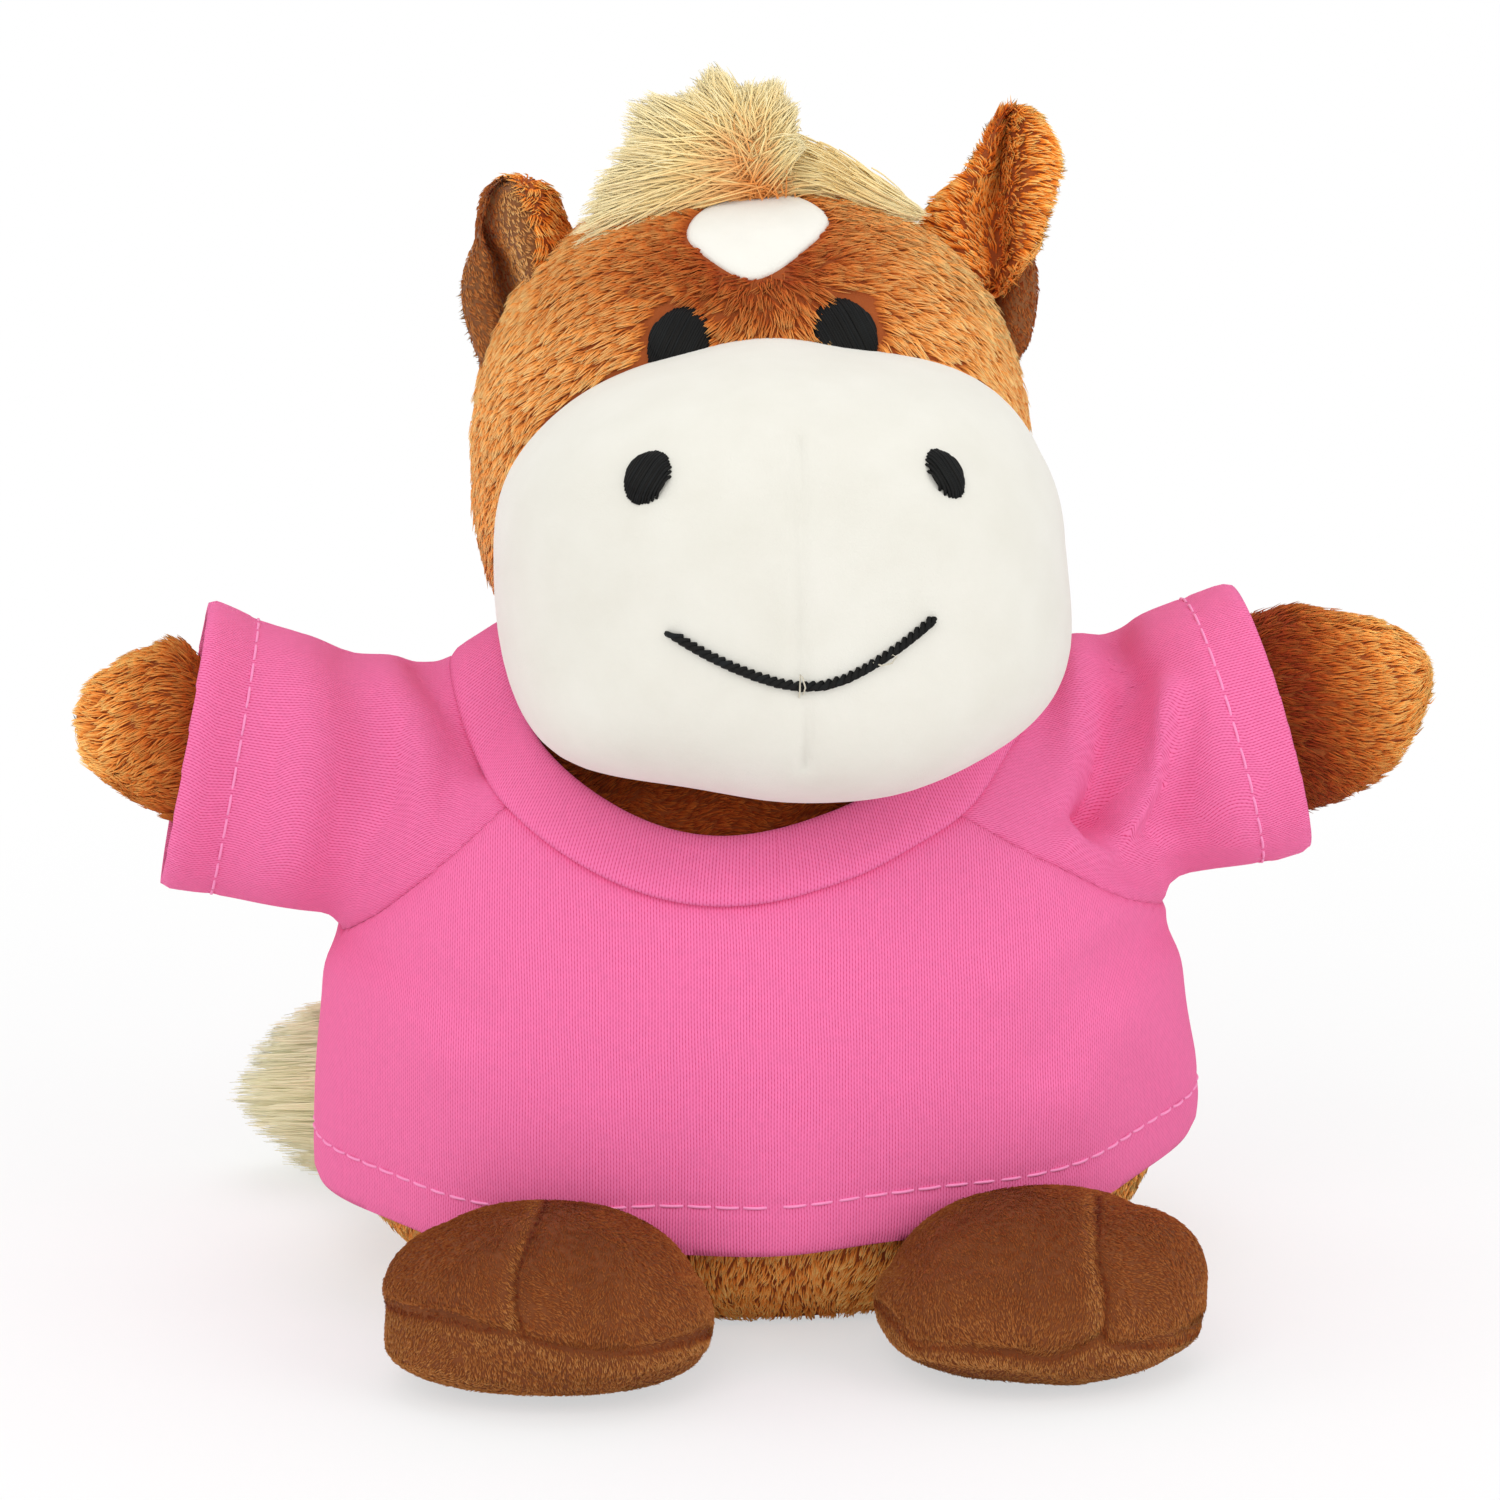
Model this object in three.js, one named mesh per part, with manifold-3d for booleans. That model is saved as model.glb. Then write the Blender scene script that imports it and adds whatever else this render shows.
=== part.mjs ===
// A small plush pony that sits upright in a pink T-shirt: a low, wide beanbag body, a big head with
// a white muzzle, two short arms held out, two flat feet, and a mane and a tail of long pile.
// Millimetres, +Z up. The pony looks along -Y, its own left is +X, and it rests on the plane Z = 0.

import * as THREE from 'three';
import Module from 'manifold-3d';
import { mergeVertices } from 'three/addons/utils/BufferGeometryUtils.js';

const wasm = await Module();
wasm.setup();

// Cloth and clearances
const pileFabric = 1.3;
const jersey = 0.9;
const gap = 0.3;

// Body: widest at bellyHeight, closing over the crown above it and cut flat on the floor below it
const bodyWidth = 112;
const bodyDepth = 92;
const bellyHeight = 22;
const bodyCrown = 56;
const bodyDrop = 30;
const bodySquareness = 2.2;
const bodyCrownSquareness = 2.6;

// Neck: a ball of stuffing in the body's top, which the head turns and nods on
const neckSink = 4;
const neckRadius = 26;
const neckMouth = 15;
const neckClearance = 0.5;
const headRimHeight = 10.5;

// Pellet bag in the bottom of the body
const bagMargin = 10;
const bagHeight = 30;
const bagSquareness = 2.2;
const bagCloth = 0.6;
const bagSlitLength = 14;
const bagSlitWidth = 3;

// Skull: its widest place is skullHeight above the neck's centre
const skullHeight = 34;
const skullWidth = 74.6;
const skullDepth = 68;
const skullCrown = 37.5;
const skullDrop = 36;
const skullSquareness = 2.35;
const headSeamBack = 4;

// Muzzle: a full white panel let into the front of the head
const muzzleHeight = 27.5;
const muzzleForward = 31;
const muzzleShift = 1.5;
const muzzleWidth = 74;
const muzzleFront = 38;
const muzzleBack = 26;
const muzzleCrown = 27.5;
const muzzleDrop = 27;
const muzzlePlanSquareness = 2.3;
const muzzleCrownSquareness = 2.4;
const muzzleJawSquareness = 3.2;

// Face: eyes on the skull just over the muzzle, nostrils and a mouth on the muzzle, and a white patch.
// Each is placed across the face, and down from the top of the skull or the muzzle.
const stitchLift = 0.8;
const eyeWidth = 8.8;
const eyeHeight = 8.4;
const eyeSpread = 10.4;
const eyeMiddle = -1.4;
const eyeDrop = 0.5;
const nostrilWidth = 5.6;
const nostrilHeight = 6.6;
const nostrilSpread = 17.8;
const nostrilDrop = 13;
const mouthWidth = 33;
const mouthDip = 7.2;
const mouthDrop = 31.6;
const mouthThread = 1.3;
const blazeWidth = 19;
const blazeHeight = 12.4;
const blazeDrop = 5;
const blazeMiddle = -1.8;

// Ears: cupped leaves set into the skull at a place down from its top, each with its own lean and turn
const earLength = 27;
const earWidth = 21;
const earDepth = 11;
const earCup = 4.2;
const earLining = 1.1;
const earSquareness = 1.8;
const earRootDepth = 4;
const earPlaceLeft = 45.6;
const earPlaceRight = 58.3;
const earSinkLeft = 3;
const earSinkRight = 6.6;
const earLeanLeft = 28;
const earLeanRight = 14;
const earTurnLeft = 40;
const earTurnRight = -50;
const earFold = 20;

// Mane: a forelock that falls to the pony's right, and a crest down the back of the head
const forelockWidth = 30;
const forelockDepth = 27;
const forelockHeight = 26;
const forelockMiddle = -7.5;
const forelockForward = 4;
const forelockRise = 2.5;
const crestWidth = 16;
const crestRise = 8;
const crestStart = 0;
const crestEnd = 118;
const crestEndWidth = 5;
const crestBluntness = 4;
const tuftLength = 34;
const tuftDepth = 9;
const tuftHeight = 12;
const tuftMiddle = 4;
const tuftSink = 4;

// Arms: hinged just off the body, at a place down from its top
const shoulderPlace = 43.35;
const shoulderStand = 0.5;
const shoulderForward = 5;
const armLengthLeft = 51.5;
const armLengthRight = 48.5;
const armRoot = 8;
const armThickness = 22;
const armHeightLeft = 28;
const armHeightRight = 24;
const armSquareness = 2.15;
const armLiftLeft = 16;
const armLiftRight = 11;
const armRaise = 12;
const armLower = 20;

// Feet: flat soles on the floor, splayed, hinged where they meet the body
const footSpreadLeft = 30;
const footSpreadRight = 28;
const footWidth = 43;
const footAhead = 15;
const footToe = 16.5;
const footHeel = 19.5;
const footHeight = 24;
const footSeamHeight = 6;
const footSink = 0.5;
const footSquareness = 2.3;
const footSoleSquareness = 2.1;
const footSplay = 10;
const footFlex = 25;
const ankleStand = 1;
const ankleHeight = 13;

// Tail: long pile that lies round the back of the body to the pony's right
const tailStand = -1.5;
const tailRootSide = 5;
const tailRootHeight = 12;
const tailReach = 64;
const tailRootRadius = 4.5;
const tailTipRadius = 12;
const tailBow = 1.5;
const tailCurl = 9;
const tailFullest = 0.7;
const tailEnd = 0.2;
const tailLift = 1;
const tailSwing = 50;

// T-shirt: a body of jersey over the belly, two raglan sleeves and a neckband
const shirtLevel = 20;
const shirtCrown = 72;
const shirtDrop = 80;
const shirtSquareness = 2.4;
const hemHeight = 17.5;
const hemForwardDip = 0.07;
const hemSideRise = 0.04;
const foldDepth = 1.2;
const foldCount = 9;
const sleeveRoot = 21;
const sleeveHeight = 38.4;
const sleeveDepth = 33;
const sleeveLengthLeft = 28.5;
const sleeveLengthRight = 32.5;
const sleeveSquareness = 2.2;
const sleeveFoldDepth = 1.1;
const sleeveFoldLength = 15;
const raglanTopOut = 36;
const raglanTopHeight = 69.5;
const raglanEndOut = 57;
const raglanEndHeight = 49;
const neckbandWidth = 9;
const neckbandThickness = 1.8;
const neckbandFront = 59;
const neckbandSide = 80;
const neckbandBack = 79;
const neckbandRise = 0.65;
const neckbandLeanFront = 40;
const neckbandLeanSide = 2;
const neckbandLeanFade = 1.5;
const neckbandTwist = 2.5;
const neckbandSquareness = 3;
const neckCutTaper = 0.6;
const neckCutDepth = 8;

// How finely the round forms are faceted
const bodyFacets = { around: 20, rings: 10 };
const neckFacets = { around: 24, rings: 12 };
const headFacets = { around: 20, rings: 10 };
const limbFacets = { around: 12, rings: 6 };
const footFacets = { around: 14, rings: 6 };
const earFacets = { around: 10, rings: 6 };
const smallFacets = { around: 12, rings: 6 };
const crestFacets = { around: 10, rings: 7 };
const bandFacets = 24;
const bandSides = 6;
const sleeveFacets = { around: 16, rings: 6 };
const tailFacets = { around: 10, rings: 7 };
const patchSegments = 14;
const smileSegments = 10;
const armStops = 4;
const footStops = 3;
const tailStops = 2;

// Working values: a length beyond everything, the distance under which two points are one, and the
// small turn that finds a line's direction
const far = 400;
const weld = 1e-4;
const smallTurn = 0.01;

const brownPile = { color: 0xb87a3e, roughness: 0.95, metalness: 0 };
const whitePile = { color: 0xf0f0e8, roughness: 0.9, metalness: 0 };
const creamPile = { color: 0xe8cf96, roughness: 0.95, metalness: 0 };
const darkSuede = { color: 0x70462a, roughness: 0.95, metalness: 0 };
const pinkJersey = { color: 0xf069aa, roughness: 0.9, metalness: 0 };
const blackThread = { color: 0x232326, roughness: 0.6, metalness: 0 };
const polyesterFill = { color: 0xf6f6f6, roughness: 1, metalness: 0 };
const bagCotton = { color: 0xe4ddcc, roughness: 0.95, metalness: 0 };
const plasticPellets = { color: 0xdfe3e4, roughness: 0.5, metalness: 0 };

const radians = THREE.MathUtils.degToRad;

// Solids

function solidOf(geometry) {
  const bare = new THREE.BufferGeometry();
  bare.setAttribute('position', geometry.getAttribute('position').clone());
  if (geometry.index) bare.setIndex(geometry.index.clone());
  const merged = mergeVertices(bare, weld);
  return new wasm.Manifold(new wasm.Mesh({
    numProp: 3,
    vertProperties: new Float32Array(merged.attributes.position.array),
    triVerts: new Uint32Array(merged.index.array),
  }));
}

function geometryOf(solid) {
  const { vertProperties, triVerts } = solid.getMesh();
  const geometry = new THREE.BufferGeometry();
  geometry.setAttribute('position', new THREE.BufferAttribute(vertProperties, 3));
  geometry.setIndex(new THREE.BufferAttribute(triVerts, 1));
  return geometry;
}

function piece(name, solid, look) {
  const mesh = new THREE.Mesh(geometryOf(solid), new THREE.MeshStandardMaterial(look));
  mesh.name = name;
  return mesh;
}

// A box between two corners, used to keep or remove everything on one side of a seam.
function block(low, high) {
  const size = new THREE.Vector3().subVectors(high, low);
  const middle = new THREE.Vector3().addVectors(low, high).multiplyScalar(0.5);
  return solidOf(new THREE.BoxGeometry(size.x, size.y, size.z).translate(middle.x, middle.y, middle.z));
}

const above = (z) => block(new THREE.Vector3(-far, -far, z), new THREE.Vector3(far, far, far));
const below = (z) => block(new THREE.Vector3(-far, -far, -far), new THREE.Vector3(far, far, z));
const infront = (y) => block(new THREE.Vector3(-far, -far, -far), new THREE.Vector3(far, y, far));
const behind = (y) => block(new THREE.Vector3(-far, y, -far), new THREE.Vector3(far, far, far));

// A stuffed form about its widest place: half widths each way, and how square it is in plan, above
// that place and below it. grow moves the whole surface out, or in when it is negative.
function swelling(form, grow = 0) {
  const geometry = new THREE.SphereGeometry(1, form.facets.around, form.facets.rings).rotateX(Math.PI / 2);
  const position = geometry.getAttribute('position');
  const point = new THREE.Vector3();
  for (let i = 0; i < position.count; i += 1) {
    point.fromBufferAttribute(position, i);
    const level = point.z < 0 ? form.squareBelow ?? form.square : form.square;
    const plan = form.plan ?? form.square;
    const around = (Math.abs(point.x) ** plan + Math.abs(point.y) ** plan) ** (1 / plan);
    point.divideScalar((around ** level + Math.abs(point.z) ** level) ** (1 / level));
    point.x *= form.side + grow;
    point.y *= (point.y < 0 ? form.front : form.back) + grow;
    point.z *= (point.z < 0 ? form.down : form.up) + grow;
    if (form.fold) form.fold(point);
    position.setXYZ(i, point.x + form.at.x, point.y + form.at.y, point.z + form.at.z);
  }
  return geometry;
}

// The point of a form's surface straight out from its widest place, at an angle from its top towards
// +X, moved out by stand, or in where that is negative.
function placeOn(form, angle, stand) {
  const out = new THREE.Vector3(Math.sin(radians(angle)), 0, Math.cos(radians(angle)));
  const across = Math.abs(out.x) / form.side;
  const over = Math.abs(out.z) / form.up;
  const reach = (across ** form.square + over ** form.square) ** (-1 / form.square);
  return form.at.clone().addScaledVector(out, reach + stand);
}

// How far a form reaches forward or back from its middle, at a place across it and a height that lies
// below its widest place.
function reachOf(form, depth, x, z) {
  const girth = (1 - ((form.at.z - z) / form.down) ** form.squareBelow) ** (1 / form.squareBelow);
  return depth * (girth ** form.plan - (Math.abs(x) / form.side) ** form.plan) ** (1 / form.plan);
}

// A closed solid through rings of as many points each: capped at its ends, or joined into a loop.
function loft(rings, looped = false) {
  const count = rings[0].length;
  const points = rings.flat();
  const faces = [];
  const spans = looped ? rings.length : rings.length - 1;
  for (let i = 0; i < spans; i += 1) {
    const here = i * count;
    const next = ((i + 1) % rings.length) * count;
    for (let j = 0; j < count; j += 1) {
      const k = (j + 1) % count;
      faces.push(here + j, here + k, next + k, here + j, next + k, next + j);
    }
  }
  if (!looped) {
    const ends = [[rings[0], 0, false], [rings.at(-1), points.length - count, true]];
    for (const [ring, first, outward] of ends) {
      const middle = ring.reduce((sum, point) => sum.add(point), new THREE.Vector3()).divideScalar(count);
      const hub = points.push(middle) - 1;
      for (let j = 0; j < count; j += 1) {
        const k = (j + 1) % count;
        faces.push(hub, outward ? first + j : first + k, outward ? first + k : first + j);
      }
    }
  }
  const geometry = new THREE.BufferGeometry().setFromPoints(points);
  geometry.setIndex(faces);
  return geometry;
}

// A rounded ring about a point, spanned by two directions, counter-clockwise seen along the loft.
function ringAt(middle, across, over, halfAcross, halfOver, square, count) {
  return Array.from({ length: count }, (_, j) => {
    const angle = (2 * Math.PI * j) / count;
    const c = Math.cos(angle);
    const s = Math.sin(angle);
    const reach = (Math.abs(c) ** square + Math.abs(s) ** square) ** (1 / square);
    return middle.clone()
      .addScaledVector(across, (halfAcross * c) / reach)
      .addScaledVector(over, (halfOver * s) / reach);
  });
}

// A limb without whatever larger pieces it would meet at any turn of its hinge. The hinge is at the
// limb's own origin, and the larger pieces are given in the frame that holds the limb's group.
function carve(limb, group, axis, turns, larger) {
  group.updateMatrix();
  let left = limb;
  for (const turn of turns) {
    const placed = group.matrix.clone().multiply(new THREE.Matrix4().makeRotationAxis(axis, radians(turn)));
    const back = placed.invert();
    for (const geometry of larger) {
      left = left.subtract(solidOf(geometry.clone().applyMatrix4(back)));
    }
  }
  return left;
}

// Evenly spaced values from one to another, both included.
function steps(from, to, count) {
  return Array.from({ length: count + 1 }, (_, i) => from + ((to - from) * i) / count);
}

// Forms that several pieces are cut from

const body = {
  at: new THREE.Vector3(0, 0, bellyHeight),
  side: bodyWidth / 2,
  front: bodyDepth / 2,
  back: bodyDepth / 2,
  up: bodyCrown,
  down: bodyDrop,
  plan: bodySquareness,
  square: bodyCrownSquareness,
  squareBelow: bodySquareness,
  facets: bodyFacets,
};

const bodyTop = bellyHeight + bodyCrown;
const neckHeight = bodyTop - neckSink;
const neckInset = -pileFabric - neckClearance;

const neck = {
  at: new THREE.Vector3(0, 0, neckHeight),
  side: neckRadius,
  front: neckRadius,
  back: neckRadius,
  up: neckRadius,
  down: neckRadius,
  square: 2,
  facets: neckFacets,
};

const bag = {
  at: new THREE.Vector3(0, 0, pileFabric + gap + bagHeight / 2),
  side: bodyWidth / 2 - bagMargin,
  front: bodyDepth / 2 - bagMargin,
  back: bodyDepth / 2 - bagMargin,
  up: bagHeight / 2,
  down: bagHeight / 2,
  square: bagSquareness,
  facets: smallFacets,
};

const skull = {
  at: new THREE.Vector3(0, 0, skullHeight),
  side: skullWidth / 2,
  front: skullDepth / 2,
  back: skullDepth / 2,
  up: skullCrown,
  down: skullDrop,
  square: skullSquareness,
  facets: headFacets,
};

const muzzle = {
  at: new THREE.Vector3(muzzleShift, -muzzleForward, muzzleHeight),
  side: muzzleWidth / 2,
  front: muzzleFront,
  back: muzzleBack,
  up: muzzleCrown,
  down: muzzleDrop,
  plan: muzzlePlanSquareness,
  square: muzzleCrownSquareness,
  squareBelow: muzzleJawSquareness,
  facets: headFacets,
};

// The shirt's body swings into shallow upright folds, deepest at the hem.
const shirt = {
  at: new THREE.Vector3(0, 0, shirtLevel),
  side: bodyWidth / 2 + gap + jersey,
  front: bodyDepth / 2 + gap + jersey,
  back: bodyDepth / 2 + gap + jersey,
  up: shirtCrown,
  down: shirtDrop,
  square: shirtSquareness,
  facets: bodyFacets,
  fold: (point) => {
    const slack = THREE.MathUtils.clamp(1 - point.z / shirtCrown, 0, 1);
    const wave = 1 + Math.cos(foldCount * Math.atan2(point.x, -point.y));
    const out = (foldDepth * slack * wave) / Math.hypot(point.x, point.y);
    point.x *= 1 + out;
    point.y *= 1 + out;
  },
};

const skullTop = skullHeight + skullCrown;
const muzzleTop = muzzleHeight + muzzleCrown;

// The head's frame has its origin at the neck's centre.
const headOrigin = new THREE.Vector3(0, 0, neckHeight);

function bodyGeometry(grow) {
  return geometryOf(solidOf(swelling(body, grow)).add(solidOf(swelling(neck, grow))));
}

// Body: front and back panels of brown pile on a flat base, with stuffing over a bag of pellets

function makeBody() {
  const group = new THREE.Group();
  const outside = solidOf(bodyGeometry(0));
  const skin = outside
    .subtract(solidOf(bodyGeometry(-pileFabric)))
    .intersect(above(pileFabric + gap))
    .intersect(below(neckHeight + neckMouth));
  group.add(piece('body_front', skin.intersect(infront(-gap / 2)), brownPile));
  group.add(piece('body_back', skin.intersect(behind(gap / 2)), brownPile));
  const base = solidOf(swelling(body)).intersect(above(0)).intersect(below(pileFabric));
  group.add(piece('body_base', base, brownPile));

  const slit = block(
    new THREE.Vector3(-bagSlitLength / 2, -bagSlitWidth / 2, bag.at.z),
    new THREE.Vector3(bagSlitLength / 2, bagSlitWidth / 2, far),
  );
  const cloth = solidOf(swelling(bag)).subtract(solidOf(swelling(bag, -bagCloth))).subtract(slit);
  group.add(piece('pellet_bag', cloth, bagCotton));
  group.add(piece('pellets', solidOf(swelling(bag, -bagCloth - gap)), plasticPellets));

  const fill = solidOf(swelling(body, -pileFabric - gap))
    .subtract(solidOf(swelling(bag, gap)))
    .intersect(above(bag.at.z))
    .subtract(solidOf(swelling(neck, neckInset + neckClearance)));
  group.add(piece('body_stuffing', fill, polyesterFill));
  return group;
}

// Neck: the ball of stuffing that the head nods and turns on, in the open top of the body's skin

function makeNeck() {
  const ball = swelling({ ...neck, at: new THREE.Vector3() }, neckInset);
  return piece('neck_stuffing', solidOf(ball), polyesterFill);
}

// Head: front and back panels of brown pile, a white muzzle and stuffing

function makeHead() {
  const group = new THREE.Group();
  const socket = solidOf(swelling({ ...neck, at: new THREE.Vector3() }, neckClearance));
  const skullIn = (grow) => solidOf(swelling(skull, grow));
  const muzzleIn = (grow) => solidOf(swelling(muzzle, grow));

  const skin = skullIn(0)
    .subtract(skullIn(-pileFabric))
    .subtract(muzzleIn(gap))
    .subtract(socket)
    .intersect(above(headRimHeight));
  group.add(piece('head_front', skin.intersect(infront(headSeamBack - gap / 2)), brownPile));
  group.add(piece('head_back', skin.intersect(behind(headSeamBack + gap / 2)), brownPile));

  const panel = muzzleIn(0).subtract(muzzleIn(-pileFabric)).subtract(skullIn(0)).subtract(socket);
  group.add(piece('muzzle', panel, whitePile));

  const inset = -pileFabric - gap;
  const fill = skullIn(inset)
    .intersect(above(headRimHeight + gap))
    .add(muzzleIn(inset).intersect(infront(-neckRadius)))
    .subtract(socket);
  group.add(piece('head_stuffing', fill, polyesterFill));
  return group;
}

// Face: each patch is a thin layer on the front of the form that it is stitched to

function patch(form, outline) {
  const settings = { depth: far, bevelEnabled: false, curveSegments: patchSegments };
  const through = new THREE.ExtrudeGeometry(outline, settings).rotateX(Math.PI / 2);
  return solidOf(swelling(form, gap + stitchLift))
    .subtract(solidOf(swelling(form, gap)))
    .intersect(solidOf(through.translate(0, form.at.y, 0)));
}

function oval(x, z, width, height) {
  return new THREE.Shape().absellipse(x, z, width / 2, height / 2, 0, 2 * Math.PI);
}

function makeFace() {
  const group = new THREE.Group();
  const clearOfMuzzle = solidOf(swelling(muzzle, 2 * gap));
  for (const [side, sign] of [['left', 1], ['right', -1]]) {
    const eye = oval(eyeMiddle + sign * eyeSpread, muzzleTop - eyeDrop, eyeWidth, eyeHeight);
    group.add(piece(`eye_${side}`, patch(skull, eye).subtract(clearOfMuzzle), blackThread));
    const nostril = oval(sign * nostrilSpread, muzzleTop - nostrilDrop, nostrilWidth, nostrilHeight);
    group.add(piece(`nostril_${side}`, patch(muzzle, nostril), blackThread));
  }

  const mouthLevel = muzzleTop - mouthDrop;
  const smile = (lift) => steps(-1, 1, smileSegments)
    .map((t) => new THREE.Vector2((t * mouthWidth) / 2, mouthLevel - mouthDip * (1 - t * t) + lift));
  const lips = new THREE.Shape([...smile(-mouthThread / 2), ...smile(mouthThread / 2).reverse()]);
  group.add(piece('mouth', patch(muzzle, lips), blackThread));

  const blazeLevel = skullTop - blazeDrop;
  const kite = new THREE.Shape();
  kite.moveTo(blazeMiddle - blazeWidth / 2, blazeLevel);
  kite.quadraticCurveTo(blazeMiddle, blazeLevel + blazeHeight, blazeMiddle + blazeWidth / 2, blazeLevel);
  kite.quadraticCurveTo(blazeMiddle, blazeLevel - blazeHeight, blazeMiddle - blazeWidth / 2, blazeLevel);
  group.add(piece('forehead_blaze', patch(skull, kite), whitePile));
  return group;
}

// Mane: long pile caught in the seam over the head, a forelock and a crest down the back

function makeMane(ears) {
  const forelock = {
    at: new THREE.Vector3(forelockMiddle, -forelockForward, skullTop + forelockRise),
    side: forelockWidth / 2,
    front: forelockDepth / 2,
    back: forelockDepth / 2,
    up: forelockHeight / 2,
    down: forelockHeight / 2,
    square: 2,
    facets: smallFacets,
  };
  const tuft = {
    at: new THREE.Vector3(tuftMiddle, headSeamBack, skullTop - tuftSink),
    side: tuftLength / 2,
    front: tuftDepth / 2,
    back: tuftDepth / 2,
    up: tuftHeight / 2,
    down: tuftHeight / 2,
    square: 2,
    facets: smallFacets,
  };
  const across = new THREE.Vector3(-1, 0, 0);
  const crest = steps(0, 1, crestFacets.rings).map((t) => {
    const angle = radians(crestStart + (crestEnd - crestStart) * t);
    const out = new THREE.Vector3(0, Math.sin(angle), Math.cos(angle));
    const middle = new THREE.Vector3(0, out.y * skull.back, out.z * skull.up).add(skull.at);
    const full = Math.max(crestEndWidth / crestWidth, Math.sqrt(1 - (2 * t - 1) ** crestBluntness));
    return ringAt(middle, across, out, full * (crestWidth / 2), full * crestRise, 2, crestFacets.around);
  });
  let pile = solidOf(loft(crest)).add(solidOf(swelling(forelock))).add(solidOf(swelling(tuft)));
  pile = pile.subtract(solidOf(swelling(skull, 2 * gap + stitchLift)));
  for (const ear of ears) {
    pile = pile.subtract(ear);
  }
  return piece('mane', pile, creamPile);
}

// Ear: a cupped leaf of brown pile with a dark lining in its open side, which faces outwards

const leaf = {
  at: new THREE.Vector3(0, 0, earLength / 2 - earRootDepth),
  side: earDepth / 2,
  front: earWidth / 2,
  back: earWidth / 2,
  up: earLength / 2,
  down: earLength / 2,
  square: earSquareness,
  facets: earFacets,
};

const earUp = new THREE.Vector3(0, 0, 1);
const earHinge = new THREE.Vector3(0, 1, 0);

function earGroup(side) {
  const group = new THREE.Group();
  const left = side === 'left';
  const lean = radians(left ? earLeanLeft : -earLeanRight);
  const turn = left ? radians(earTurnLeft) : Math.PI - radians(earTurnRight);
  const place = left ? earPlaceLeft : -earPlaceRight;
  group.position.copy(placeOn(skull, place, left ? -earSinkLeft : -earSinkRight));
  group.quaternion
    .setFromAxisAngle(earHinge, lean)
    .multiply(new THREE.Quaternion().setFromAxisAngle(earUp, turn));
  return group;
}

function makeEar(side) {
  const group = earGroup(side);
  const cup = {
    ...leaf,
    at: new THREE.Vector3(earCup, 0, leaf.at.z),
    front: leaf.front - pileFabric,
    back: leaf.back - pileFabric,
    up: leaf.up - pileFabric,
  };
  const turns = [-earFold, 0, earFold];
  const shell = solidOf(swelling(leaf)).subtract(solidOf(swelling(cup)));
  const hollow = { ...cup, at: cup.at.clone().setX(earCup + earLining) };
  const lining = solidOf(swelling(cup, -gap))
    .subtract(solidOf(swelling(hollow, -gap)))
    .intersect(solidOf(swelling(leaf)));
  const larger = [swelling(skull, gap)];
  group.add(piece(`ear_${side}_shell`, carve(shell, group, earHinge, turns, larger), brownPile));
  group.add(piece(`ear_${side}_lining`, carve(lining, group, earHinge, turns, larger), darkSuede));
  return group;
}

// The space that an ear sweeps, in the head's frame, for what lies beside it.
function earSpace(side) {
  const group = earGroup(side);
  group.updateMatrix();
  let space = solidOf(swelling(leaf, 2 * gap).applyMatrix4(group.matrix));
  for (const turn of [-earFold, earFold]) {
    const turned = group.matrix.clone().multiply(new THREE.Matrix4().makeRotationY(radians(turn)));
    space = space.add(solidOf(swelling(leaf, 2 * gap).applyMatrix4(turned)));
  }
  return space;
}

// Arm: a stuffed mitten without fingers, open at the root where it is sewn to the body

function armGroup(side) {
  const group = new THREE.Group();
  const left = side === 'left';
  const shoulder = placeOn(body, left ? shoulderPlace : -shoulderPlace, shoulderStand);
  group.position.copy(shoulder).setY(-shoulderForward);
  group.rotation.set(0, radians(left ? -armLiftLeft : armLiftRight), left ? 0 : Math.PI);
  return group;
}

function makeArm(side) {
  const group = armGroup(side);
  const half = ((side === 'left' ? armLengthLeft : armLengthRight) + armRoot) / 2;
  const height = side === 'left' ? armHeightLeft : armHeightRight;
  const arm = {
    at: new THREE.Vector3(half - armRoot, 0, 0),
    side: half,
    front: armThickness / 2,
    back: armThickness / 2,
    up: height / 2,
    down: height / 2,
    square: armSquareness,
    facets: limbFacets,
  };
  const hinge = new THREE.Vector3(0, 1, 0);
  const turns = steps(-armRaise, armLower, armStops);
  const larger = [swelling(body, gap), geometryOf(neckPlug())];
  const clear = (solid) => carve(solid, group, hinge, turns, larger);
  const skin = clear(solidOf(swelling(arm))).subtract(solidOf(swelling(arm, -pileFabric)));
  group.add(piece(`arm_${side}_skin`, skin, brownPile));
  group.add(piece(`arm_${side}_stuffing`, clear(solidOf(swelling(arm, -pileFabric - gap))), polyesterFill));
  return group;
}

// Foot: a dark upper on a sole that is flat where it stands, open at the back where it is sewn on

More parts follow.
